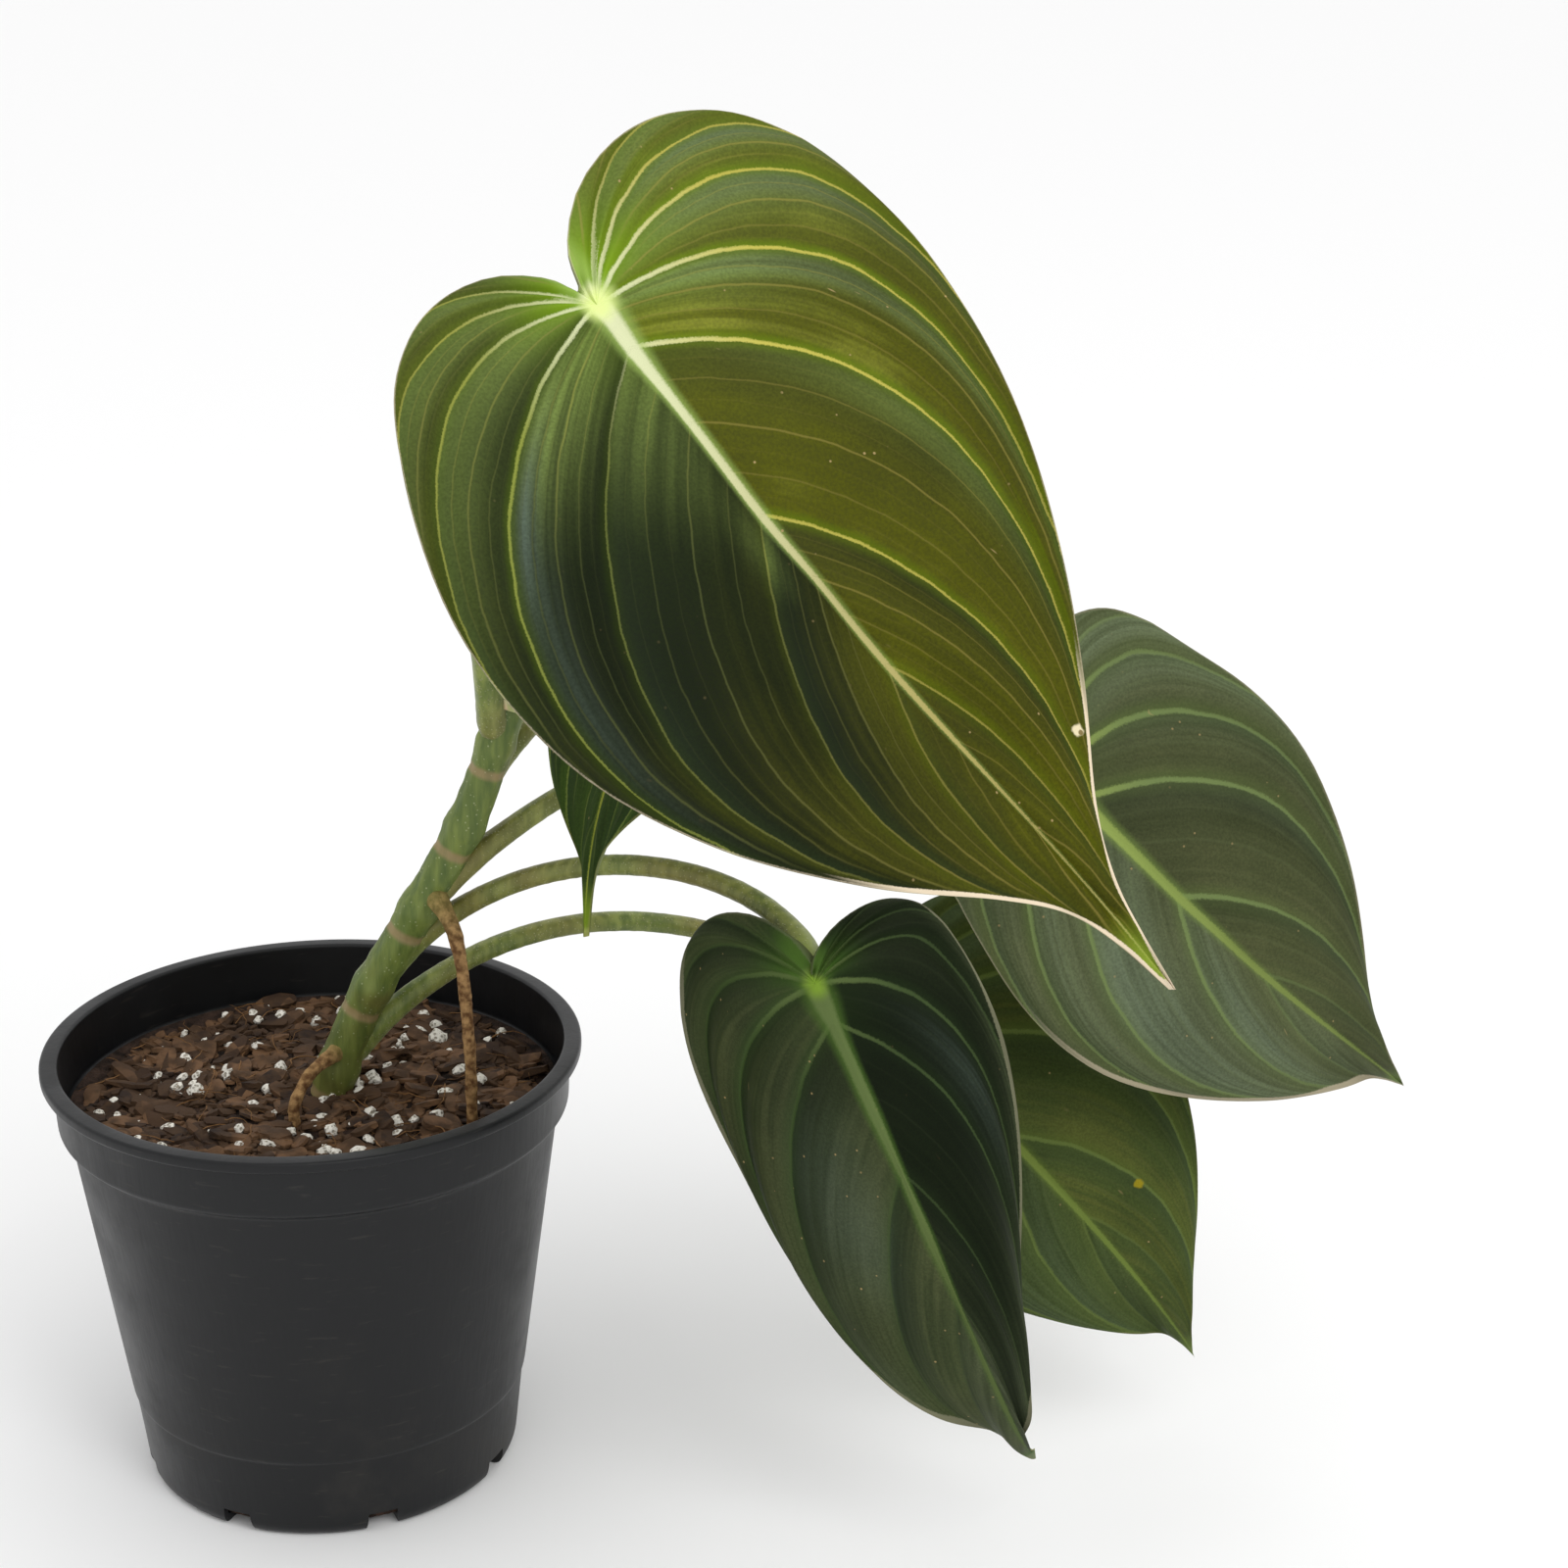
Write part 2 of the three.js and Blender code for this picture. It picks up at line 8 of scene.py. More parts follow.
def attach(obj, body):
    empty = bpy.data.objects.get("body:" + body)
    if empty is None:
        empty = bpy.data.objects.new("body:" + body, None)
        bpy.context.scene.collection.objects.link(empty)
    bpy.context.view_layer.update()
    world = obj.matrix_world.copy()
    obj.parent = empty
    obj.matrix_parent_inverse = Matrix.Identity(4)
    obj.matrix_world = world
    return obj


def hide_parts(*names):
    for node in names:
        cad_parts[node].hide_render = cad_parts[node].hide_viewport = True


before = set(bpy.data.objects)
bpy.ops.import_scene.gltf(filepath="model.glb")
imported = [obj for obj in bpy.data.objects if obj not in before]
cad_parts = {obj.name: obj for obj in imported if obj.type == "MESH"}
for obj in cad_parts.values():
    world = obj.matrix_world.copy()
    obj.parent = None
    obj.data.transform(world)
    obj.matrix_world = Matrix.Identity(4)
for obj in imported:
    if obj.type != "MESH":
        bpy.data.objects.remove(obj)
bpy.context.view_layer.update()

# Nursery pot
# The thin black pot that young plants are sold in, pressed from one sheet of plastic: a tapered wall, a
# step up to a wider collar, a turned-out rim and drainage slots through the edge of the base.
MM = 0.001
POT_SEGMENTS = 160
POT_HEIGHT = 86.0
POT_BASE_RADIUS = 36.0
POT_RIM_RADIUS = 51.0
POT_WALL = 1.2
POT_FLOOR = 1.6
COLLAR_FOOT = 74.0
COLLAR_RADIUS = 48.8
COLLAR_DRAFT = 0.5
WALL_TOP_RADIUS = 46.3
DRAIN_SLOTS = 8
DRAIN_SLOT_LENGTH = 12.0
DRAIN_SLOT_WIDTHS = (7.0, 5.6)
DRAIN_SLOT_HEIGHT = 8.0


def linear(code):
    """Colour '#rrggbb' as the linear RGBA that Blender's nodes take."""
    parts = [int(code[i:i + 2], 16) / 255 for i in (1, 3, 5)]
    return tuple(c / 12.92 if c <= 0.04045 else ((c + 0.055) / 1.055) ** 2.4 for c in parts) + (1.0,)


class Value:
    """What a node gives out. Arithmetic on it adds math nodes."""

    def __init__(self, nodes, socket):
        self.nodes, self.socket = nodes, socket

    def __add__(self, other):
        return self.nodes.math("ADD", self, other)

    def __sub__(self, other):
        return self.nodes.math("SUBTRACT", self, other)

    def __mul__(self, other):
        return self.nodes.math("MULTIPLY", self, other)

    def __truediv__(self, other):
        return self.nodes.math("DIVIDE", self, other)

    def or_more(self, other):
        """The larger of the two."""
        return self.nodes.math("MAXIMUM", self, other)

    def step(self, low, high, start=0.0, end=1.0):
        """Smooth change from start to end as the value goes from low to high."""
        return self.nodes.add("ShaderNodeMapRange", 0, {
            "Value": self, "From Min": low, "From Max": high, "To Min": start, "To Max": end,
        }, interpolation_type="SMOOTHSTEP")

    def fade(self, low, high, start=1.0):
        """Smooth fall from start to nothing as the value goes from low to high."""
        return self.step(low, high, start, 0.0)


class Nodes:
    """A node tree, with short calls that add its nodes."""

    def __init__(self, tree):
        self.tree = tree

    def fill(self, node, values):
        for key, value in values.items():
            socket = node.inputs[key]
            if isinstance(value, Value):
                self.tree.links.new(value.socket, socket)
            elif isinstance(value, str) and value.startswith("#"):
                socket.default_value = linear(value)
            else:
                socket.default_value = value

    def add(self, kind, output, values=(), **settings):
        """A new node with its settings and inputs, as the value of the output named."""
        node = self.tree.nodes.new(kind)
        for key, value in settings.items():
            setattr(node, key, value)
        self.fill(node, dict(values))
        return Value(self, node.outputs[output])

    def math(self, operation, *values):
        return self.add("ShaderNodeMath", 0, dict(enumerate(values)), operation=operation)


class Finish(Nodes):
    """A material, with short calls for its textures and its shader."""

    def __init__(self, name, **shader):
        self.material = bpy.data.materials.new(name)
        self.material.use_nodes = True
        super().__init__(self.material.node_tree)
        self.shader = self.tree.nodes["Principled BSDF"]
        names = {socket.name.lower().replace(" ", "_"): socket.name for socket in self.shader.inputs}
        self.fill(self.shader, {names[key]: value for key, value in shader.items()})
        self.place = self.add("ShaderNodeTexCoord", "Object")
        self.base = None
        self.relief = {}

    def attribute(self, name):
        return self.add("ShaderNodeAttribute", "Fac", attribute_name=name)

    def mix(self, factor, a, b):
        return self.add("ShaderNodeMix", 2, {0: factor, 6: a, 7: b}, data_type="RGBA")

    def noise(self, scale, detail, vector=None, roughness=0.5):
        return self.add("ShaderNodeTexNoise", "Fac", {
            "Vector": vector or self.place, "Scale": scale, "Detail": detail, "Roughness": roughness})

    def cells(self, scale, vector=None, output="Distance"):
        return self.add("ShaderNodeTexVoronoi", output, {"Vector": vector or self.place, "Scale": scale})

    def stretched(self, scale, rotation=(0, 0, 0)):
        return self.add("ShaderNodeMapping", 0, {"Vector": self.place, "Rotation": rotation, "Scale": scale})

    def bump(self, height, distance, strength=1.0):
        """Relief, on top of what was added before."""
        values = {"Height": height, "Distance": distance, "Strength": strength, **self.relief}
        self.relief = {"Normal": self.add("ShaderNodeBump", 0, values)}
        self.fill(self.shader, self.relief)

    def colour(self, value):
        self.base = value
        self.fill(self.shader, {"Base Color": value})

    def coat(self, amount, paint):
        """A further colour over what was there before, as strong as the amount."""
        self.colour(self.mix(amount, self.base, paint))

    def roughness(self, value):
        self.fill(self.shader, {"Roughness": value})


def in_scene(name, data):
    """A new object in the scene that shows the mesh, curve, lamp or camera given."""
    thing = bpy.data.objects.new(name, data)
    bpy.context.scene.collection.objects.link(thing)
    return thing


def new_piece(name, points, faces, finish, sharp=50.0):
    """Mesh object from points in millimetres, smooth but for edges sharper than the angle given."""
    mesh = bpy.data.meshes.new(name)
    mesh.from_pydata((np.asarray(points, float) * MM).tolist(), [], faces)
    mesh.shade_smooth()
    mesh.set_sharp_from_angle(angle=math.radians(sharp))
    mesh.materials.append(finish.material)
    return in_scene(name, mesh)


def made_plain(name, source, finish):
    """The evaluated source as a plain mesh object, with the source removed."""
    graph = bpy.context.evaluated_depsgraph_get()
    mesh = bpy.data.meshes.new_from_object(source.evaluated_get(graph), depsgraph=graph)
    mesh.name = name
    mesh.materials.clear()
    mesh.materials.append(finish.material)
    bpy.data.objects.remove(source)
    return in_scene(name, mesh)


def settle(piece, slot, *nodes):
    """The piece belongs to the plant's one body, and stands for the CAD nodes named."""
    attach(piece, "root")
    if nodes:
        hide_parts(*nodes)


def rounded(corners, steps=5):
    """Profile through corners (r, z, radius of the rounding) with arcs at the corners."""
    line = []
    for i, (r, z, bend) in enumerate(corners):
        here = np.array([r, z])
        if bend == 0:
            line.append(here)
            continue
        before = np.array(corners[i - 1][:2]) - here
        after = np.array(corners[i + 1][:2]) - here
        before *= min(bend / np.linalg.norm(before), 0.48)
        after *= min(bend / np.linalg.norm(after), 0.48)
        for k in range(steps + 1):
            t = k / steps
            line.append(here + before * (1 - t) ** 2 + after * t * t)
    return np.array(line)


def closed_round(first, rings, last):
    """Points and faces of a body over rings of points, with an end point before and after them."""
    sides = len(rings[0])
    points = [first, *(point for ring in rings for point in ring), last]
    faces = []
    for k in range(sides):
        n = (k + 1) % sides
        faces.append((0, 1 + n, 1 + k))
        for i in range(len(rings) - 1):
            a, b = 1 + i * sides + k, 1 + i * sides + n
            faces.append((a, b, b + sides, a + sides))
        end = 1 + (len(rings) - 1) * sides
        faces.append((end + k, end + n, len(points) - 1))
    return np.array(points), faces


def turned(profile, segments):
    """Closed body of revolution whose profile starts and ends on the axis."""
    angles = 2 * np.pi * np.arange(segments) / segments
    rings = [[(r * math.cos(a), r * math.sin(a), z) for a in angles] for r, z in profile[1:-1]]
    return closed_round((0.0, 0.0, profile[0][1]), rings, (0.0, 0.0, profile[-1][1]))


def quads(grid):
    """Faces between the neighbours in a grid of point numbers."""
    return np.stack([grid[:-1, :-1], grid[1:, :-1], grid[1:, 1:], grid[:-1, 1:]], -1).reshape(-1, 4).tolist()


def box_faces(ids):
    """Faces on the six sides of a block of point numbers."""
    return (quads(ids[0].T) + quads(ids[-1]) + quads(ids[:, 0]) + quads(ids[:, -1].T)
            + quads(ids[:, :, 0].T) + quads(ids[:, :, -1]))


pot_finish = Finish("black_pot_plastic", roughness=0.42, specular_ior_level=0.3)
dust = pot_finish.noise(38, 5, roughness=0.65)
height_up_wall = pot_finish.add("ShaderNodeSeparateXYZ", "Z", {0: pot_finish.place})
splash = dust.step(0.5, 0.8) * height_up_wall.step(0.0, 0.04, 0.5, 0.12)
scuff = pot_finish.noise(150, 5, pot_finish.stretched((1, 1, 7), (0.3, 0.1, 0))).step(0.62, 0.72, 0.0, 0.3)
pot_finish.colour("#0e0f11")
pot_finish.coat(splash + scuff, "#37342f")
pot_finish.roughness(dust.step(0.3, 0.8, 0.33, 0.55))
pot_finish.bump(pot_finish.noise(900, 3, pot_finish.stretched((1, 1, 0.15))), 0.0001, 0.4)
pot_finish.bump(pot_finish.noise(28, 2), 0.0006, 0.35)

pot_profile = rounded([
    (0, 0, 0), (POT_BASE_RADIUS - 1, 0, 1.2), (POT_BASE_RADIUS + 0.1, 1.6, 1.2), (37.9, 16.8, 0.3),
    (38.3, 17.4, 0.4), (38.5, 18.6, 0.3), (45.8, 69.4, 0.4), (WALL_TOP_RADIUS, COLLAR_FOOT - 1.2, 0.9),
    (COLLAR_RADIUS - COLLAR_DRAFT, COLLAR_FOOT - 0.1, 0.9), (COLLAR_RADIUS, POT_HEIGHT - 2.5, 0.7),
    (POT_RIM_RADIUS, POT_HEIGHT - 2.2, 0.7), (POT_RIM_RADIUS, POT_HEIGHT - 0.05, 0.7),
    (COLLAR_RADIUS - POT_WALL, POT_HEIGHT, 0.7),
    (COLLAR_RADIUS - COLLAR_DRAFT - POT_WALL, COLLAR_FOOT + 1, 0.8),
    (WALL_TOP_RADIUS - POT_WALL, COLLAR_FOOT, 0.8), (POT_BASE_RADIUS - POT_WALL, POT_FLOOR, 1.2),
    (0, POT_FLOOR, 0),
])
pot_body = new_piece("pot_body", *turned(pot_profile, POT_SEGMENTS), pot_finish)
slot_points, slot_faces = [], []
for k in range(DRAIN_SLOTS):
    angle = 2 * math.pi * (k + 0.5) / DRAIN_SLOTS
    out = np.array([math.cos(angle), math.sin(angle), 0])
    side = np.array([-out[1], out[0], 0])
    slot_faces += box_faces(len(slot_points) + np.arange(8).reshape(2, 2, 2))
    for x in (-0.5, 0.5):
        for y in (-0.5, 0.5):
            for z, width in zip((-0.5, 0.5), DRAIN_SLOT_WIDTHS):
                slot_points.append(out * (POT_BASE_RADIUS + x * DRAIN_SLOT_LENGTH) + side * y * width
                                   + np.array([0, 0, z * DRAIN_SLOT_HEIGHT]))
drain_cutter = new_piece("drain_cutter", slot_points, slot_faces, pot_finish)
cut = pot_body.modifiers.new("drainage", "BOOLEAN")
cut.operation = "DIFFERENCE"
cut.object = drain_cutter
pot_piece = made_plain("nursery_pot_moulding", pot_body, pot_finish)
pot_piece.data.set_sharp_from_angle(angle=math.radians(50))
bpy.data.objects.remove(drain_cutter)
settle(pot_piece, "pot", "nursery_pot")

# Potting mix
# Damp peat pressed into the pot, with a loose top of bark chips, white perlite grains and coir fibres.
# It is poured in and firmed round the roots.
SOIL_LEVEL = 76.0
SOIL_RADIUS = COLLAR_RADIUS - COLLAR_DRAFT - POT_WALL - 0.3
SOIL_SEGMENTS = 150
SOIL_RINGS = 56
SOIL_FOOT = POT_FLOOR + 0.3
SOIL_CLEARANCE = 0.7
STREWN_FROM = 4.6
STREWN_TO = 42.5
STREWN_RINGS = 24
STREWN_SEGMENTS = 72


def soil_height(x, y):
    """Uneven surface of the mix, in millimetres above the pot's base."""
    rough = noise.fractal(Vector((x, y, 3.0)) * 0.09, 0.8, 2.1, 5)
    crumb = noise.noise(Vector((x, y, 8.0)) * 0.55)
    mound = 1.2 * math.exp(-(x * x + y * y) / 300)
    edge = min(1.0, max(0.0, (SOIL_RADIUS - math.hypot(x, y)) / 4))
    return SOIL_LEVEL - 0.7 + edge * (1.3 * rough + 0.45 * crumb + mound)


soil_finish = Finish("damp_peat", roughness=0.9, specular_ior_level=0.2)
soil_finish.colour("#18110c")
soil_finish.coat(soil_finish.noise(350, 6).step(0.3, 0.7), "#43332a")
soil_finish.bump(soil_finish.noise(1400, 4), 0.0006)

soil_profile = [(0.0, 0.0)] + [(r, 0.0) for r in np.linspace(0.6, SOIL_RADIUS - 0.4, SOIL_RINGS)]
soil_profile += [(WALL_TOP_RADIUS - POT_WALL - SOIL_CLEARANCE, COLLAR_FOOT + 0.6),
                 (POT_BASE_RADIUS - POT_WALL - SOIL_CLEARANCE, SOIL_FOOT), (0.0, SOIL_FOOT)]
soil_points, soil_faces = turned(soil_profile, SOIL_SEGMENTS)
for point in soil_points[:1 + SOIL_SEGMENTS * SOIL_RINGS]:
    point[2] = soil_height(point[0], point[1])
soil_plug = new_piece("potting_mix_plug", soil_points, [face[::-1] for face in soil_faces], soil_finish)
settle(soil_plug, "potting_mix", "potting_mix")


class Tree(Nodes):
    """A geometry tree with named inputs."""

    def __init__(self, name, inputs):
        super().__init__(bpy.data.node_groups.new(name, "GeometryNodeTree"))
        face = self.tree.interface
        for key, kind in {"Geometry": "Geometry", **inputs, "Material": "Material"}.items():
            face.new_socket(key, in_out="INPUT", socket_type="NodeSocket" + kind)
        face.new_socket("Geometry", in_out="OUTPUT", socket_type="NodeSocketGeometry")
        entry = self.tree.nodes.new("NodeGroupInput")
        self.input = {socket.name: Value(self, socket) for socket in entry.outputs}

    def vector(self, operation, *values):
        return self.add("ShaderNodeVectorMath", 0, dict(enumerate(values)), operation=operation)

    def scaled(self, vector, factor):
        return self.add("ShaderNodeVectorMath", 0, {0: vector, "Scale": factor}, operation="SCALE")

    def random(self, low, high, shift):
        """A random number or vector for each point, its seed shifted from the tree's own."""
        seed = self.input["Seed"] + shift
        if isinstance(low, tuple):
            return self.add("FunctionNodeRandomValue", 0, {"Seed": seed, 0: low, 1: high},
                            data_type="FLOAT_VECTOR")
        return self.add("FunctionNodeRandomValue", 1, {"Seed": seed, 2: low, 3: high}, data_type="FLOAT")

    def stored(self, geometry, name, value):
        """The geometry with a number kept on its points under the name given."""
        return self.add("GeometryNodeStoreNamedAttribute", 0, {0: geometry, "Name": name, "Value": value},
                        data_type="FLOAT", domain="POINT")

    def result(self, geometry):
        """Ends the tree in real geometry that wears the material given."""
        realized = self.add("GeometryNodeRealizeInstances", 0, {0: geometry})
        smooth = self.add("GeometryNodeSetShadeSmooth", 0, {0: realized, "Shade Smooth": True})
        last = self.add("GeometryNodeSetMaterial", 0, {0: smooth, "Material": self.input["Material"]})
        self.fill(self.tree.nodes.new("NodeGroupOutput"), {0: last})

    def applied(self, name, source, finish, **values):
        """A plain mesh object that the tree makes of the source, which is removed."""
        modifier = source.modifiers.new(name, "NODES")
        modifier.node_group = self.tree
        names = {item.name: item.identifier for item in self.tree.interface.items_tree
                 if item.in_out == "INPUT"}
        modifier[names["Material"]] = finish.material
        for key, value in values.items():
            modifier[names[key.replace("_", " ").capitalize()]] = value
        return made_plain(name, source, finish)


scatter = Tree("scattered_grains", {
    "Grain": "Object", "Density": "Float", "Smallest": "Float", "Largest": "Float", "Tilt": "Float",
    "Lift": "Float", "Warp": "Float", "Seed": "Int",
})
inputs = scatter.input
spots = scatter.add("GeometryNodeDistributePointsOnFaces", "Points", {
    0: inputs["Geometry"], "Density": inputs["Density"], "Seed": inputs["Seed"]})
grain = scatter.add("GeometryNodeObjectInfo", "Geometry", {0: inputs["Grain"]})
lean = scatter.scaled(scatter.random((-1, -1, 0), (1, 1, 0), 1), inputs["Tilt"])
spin = scatter.vector("ADD", lean, scatter.random((0, 0, 0), (0, 0, 6.283), 2))
size = scatter.random(inputs["Smallest"], inputs["Largest"], 3)
shape = scatter.random((0.75, 0.7, 0.7), (1.2, 1.25, 1.3), 4)
laid = scatter.add("GeometryNodeInstanceOnPoints", 0, {
    "Points": spots, "Instance": grain, "Scale": scatter.scaled(shape, size),
    "Rotation": scatter.add("FunctionNodeEulerToRotation", 0, {0: spin})})
raised = scatter.add("ShaderNodeCombineXYZ", 0, {"Z": size * inputs["Lift"]})
lifted = scatter.add("GeometryNodeTranslateInstances", 0, {
    0: laid, "Translation": raised, "Local Space": False})
loose = scatter.add("GeometryNodeRealizeInstances", 0, {0: lifted})
wobble = scatter.add("ShaderNodeTexNoise", "Color", {"Scale": 420.0, "Detail": 2.0})
wobble = scatter.scaled(scatter.vector("SUBTRACT", wobble, (0.5, 0.5, 0.5)), inputs["Warp"])
scatter.result(scatter.add("GeometryNodeSetPosition", 0, {0: loose, "Offset": wobble}))


def strewn(name, grain_mesh, finish, **values):
    """Copies of a grain on the mix, inside the pot's wall and clear of the stem's foot."""
    angles = 2 * np.pi * np.arange(STREWN_SEGMENTS) / STREWN_SEGMENTS
    points = [(r * math.cos(a), r * math.sin(a), soil_height(r * math.cos(a), r * math.sin(a)))
              for r in np.linspace(STREWN_FROM, STREWN_TO, STREWN_RINGS) for a in angles]
    ids = np.arange(len(points)).reshape(STREWN_RINGS, STREWN_SEGMENTS)
    patch = new_piece("soil_patch", points, quads(np.c_[ids, ids[:, 0]]), soil_finish)
    grain_piece = new_piece(name + "_grain", *grain_mesh, finish)
    piece = scatter.applied(name, patch, finish, grain=grain_piece, **values)
    bpy.data.objects.remove(grain_piece)
    settle(piece, "potting_mix")


def block(size, divisions, taper):
    """Points and faces of a flat block, thinner and narrower towards its ends."""
    nx, ny, nz = divisions
    points, ids = [], np.full((nx + 1, ny + 1, nz + 1), -1)
    for i in range(nx + 1):
        for j in range(ny + 1):
            for k in range(nz + 1):
                if i in (0, nx) or j in (0, ny) or k in (0, nz):
                    u, v, w = 2 * i / nx - 1, 2 * j / ny - 1, 2 * k / nz - 1
                    narrow = 1 - taper * u * u
                    ids[i, j, k] = len(points)
                    points.append((u * size[0] / 2 * (1 - 0.12 * v * v), v * size[1] / 2 * narrow,
                                   w * size[2] / 2 * narrow * (1 - 0.3 * v * v)))
    return points, box_faces(ids)


bark_finish = Finish("bark_chip", roughness=0.82, specular_ior_level=0.25)
grain_lines = bark_finish.noise(260, 5, bark_finish.stretched((1, 1, 3)))
bark_finish.colour("#281b13")
bark_finish.coat(bark_finish.cells(170, output="Color").step(0.2, 0.8), "#6e5138")
bark_finish.coat(grain_lines.step(0.35, 0.65), "#43301f")
bark_finish.bump(grain_lines, 0.0004)
strewn("bark_chips", block((6.4, 3.6, 1.5), (4, 3, 2), 0.35), bark_finish, density=90000.0,
       smallest=0.55, largest=1.15, tilt=0.42, lift=0.0006, warp=0.0011, seed=3)
strewn("bark_crumbs", block((2.6, 1.9, 1.3), (2, 2, 2), 0.3), bark_finish, density=330000.0,
       smallest=0.4, largest=1.1, tilt=0.42, lift=0.0003, warp=0.0011, seed=5)

perlite_finish = Finish("perlite", roughness=0.85, specular_ior_level=0.3)
pores = perlite_finish.cells(1300).step(0.15, 0.55)
perlite_finish.colour("#a59c8c")
perlite_finish.coat(pores, "#e9e5da")
perlite_finish.bump(pores, 0.0003)
strewn("perlite_grains", block((2.5, 2.2, 1.9), (3, 3, 3), 0.4), perlite_finish, density=26000.0,
       smallest=0.5, largest=1.25, tilt=1.0, lift=0.0007, warp=0.0009, seed=11)


def swept(path, radius, sides):
    """Points and faces of a closed round rod along points, with radius(share of length, angle)."""
    path = np.asarray(path, float)
    ahead = np.gradient(path, axis=0)
    ahead /= np.linalg.norm(ahead, axis=1, keepdims=True)
    lengths = np.r_[0, np.cumsum(np.linalg.norm(np.diff(path, axis=0), axis=1))]
    across = np.cross(ahead[0], [0, 1, 0])
    angles = [2 * np.pi * k / sides for k in range(sides)]
    rings = []
    for i, centre in enumerate(path):
        across -= ahead[i] * np.dot(across, ahead[i])
        across /= np.linalg.norm(across)
        other = np.cross(ahead[i], across)
        share = lengths[i] / lengths[-1]
        rings.append([centre + (across * math.cos(a) + other * math.sin(a)) * radius(share, a)
                      for a in angles])
    return closed_round(path[0], rings, path[-1])


fibre_finish = Finish("coir_fibre", roughness=0.75, specular_ior_level=0.3)
fibre_finish.colour("#4a3018")
fibre_finish.coat(fibre_finish.noise(300, 3), "#9a7042")
fibre_path = [(10 * (u - 0.5), 1.6 * math.sin(2.6 * u), 0.8 * math.sin(3.1 * u))
              for u in np.linspace(0, 1, 9)]
strewn("coir_fibres", swept(fibre_path, lambda s, a: 0.13 * (1 - 0.5 * s), 4), fibre_finish, density=22000.0,
       smallest=0.4, largest=0.95, tilt=0.3, lift=0.0012, warp=0.0016, seed=17)

# Stem
# The climbing stem, which leans as it leaves the mix: green and fleshy, a little thicker at each leaf, with
# a pale ring scar there. Its foot is rooted 30 mm down.
STEM_POINTS = [(0, 0, -30), (1, 0, -8), (9, -1, 16), (20, -3, 36), (31, -4, 56), (40, -6, 80)]
STEM_RADIUS = 4.0
SCAR_BELOW_LEAF = 0.045
LEAF_FEET = [0.3, 0.46, 0.62, 0.78, 0.93]
SOIL_CENTRE = np.array([0, 0, SOIL_LEVEL])


def curve_weights(t):
    """Weights of start, leaving slope, end and arriving slope at t on a smooth curve from 0 to 1."""
    return (2 * t ** 3 - 3 * t * t + 1, t ** 3 - 2 * t * t + t, 3 * t * t - 2 * t ** 3, t ** 3 - t * t)


class Path:
    """Smooth curve through points, or a cubic through four handles, by share of its length."""

    def __init__(self, points, handles=False):
        points = np.array(points, float)
        if handles:
            t = np.linspace(0, 1, 400)[:, None]
            a, b, c, d = points
            self.line = a * (1 - t) ** 3 + 3 * b * t * (1 - t) ** 2 + 3 * c * t * t * (1 - t) + d * t ** 3
        else:
            ends = np.vstack([2 * points[0] - points[1], points, 2 * points[-1] - points[-2]])
            line = []
            for i in range(len(points) - 1):
                p = ends[i:i + 4]
                gap = np.maximum(np.sum(np.diff(p, axis=0) ** 2, axis=1) ** 0.25, 1e-4)
                m = [(p[k + 1] - p[k]) / gap[k] - (p[k + 2] - p[k]) / (gap[k] + gap[k + 1])
                     + (p[k + 2] - p[k + 1]) / gap[k + 1] for k in (0, 1)]
                start, leave, end, arrive = curve_weights(np.linspace(0, 1, 80)[:, None])
                line.append(start * p[1] + leave * m[0] * gap[1] + end * p[2] + arrive * m[1] * gap[1])
            self.line = np.vstack(line)
        self.run = np.r_[0, np.cumsum(np.linalg.norm(np.diff(self.line, axis=0), axis=1))]
        self.run /= self.run[-1]

    def at(self, s):
        return np.stack([np.interp(s, self.run, self.line[:, k]) for k in range(3)], -1)

    def direction(self, s):
        ahead = self.at(min(s + 0.004, 1)) - self.at(max(s - 0.004, 0))
        return ahead / np.linalg.norm(ahead)


stem_path = Path(STEM_POINTS)

stalk = Tree("stalk_on_path", {
    "Sides": "Int", "Ridges": "Float", "Ridge depth": "Float", "Grain": "Float", "Grain depth": "Float",
})
inputs = stalk.input
kept = stalk.stored(inputs["Geometry"], "along", stalk.add("GeometryNodeSplineParameter", "Factor"))
ring = stalk.add("GeometryNodeCurvePrimitiveCircle", 0, {"Resolution": inputs["Sides"], "Radius": 1.0})
ring = stalk.stored(ring, "around", stalk.add("GeometryNodeSplineParameter", "Factor"))
skin = stalk.add("GeometryNodeCurveToMesh", 0, {
    "Curve": kept, "Profile Curve": ring, "Scale": stalk.add("GeometryNodeInputRadius", 0),
    "Fill Caps": True})
round_at = stalk.add("GeometryNodeInputNamedAttribute", 0, {0: "around"}, data_type="FLOAT")
ridge = stalk.math("COSINE", round_at * inputs["Ridges"] * (2 * math.pi)) * inputs["Ridge depth"]
speckle = stalk.add("ShaderNodeTexNoise", "Fac", {"Scale": inputs["Grain"], "Detail": 3.0})
push = ridge + (speckle - 0.5) * inputs["Grain depth"]
stalk.result(stalk.add("GeometryNodeSetPosition", 0, {
    0: skin, "Offset": stalk.scaled(stalk.add("GeometryNodeInputNormal", 0), push)}))


def stalk_on(name, path, radius, finish, rings, **values):
    """Stalk swept along a path from the soil's middle, radius(share of length) in millimetres."""
    curve = bpy.data.curves.new(name + "_path", "CURVE")
    curve.dimensions = "3D"
    spline = curve.splines.new("POLY")
    spline.points.add(rings - 1)
    for point, s in zip(spline.points, np.linspace(0, 1, rings)):
        point.co = (*((path.at(s) + SOIL_CENTRE) * MM), 1)
        point.radius = radius(s) * MM
    return stalk.applied(name, in_scene(name + "_path", curve), finish, **values)


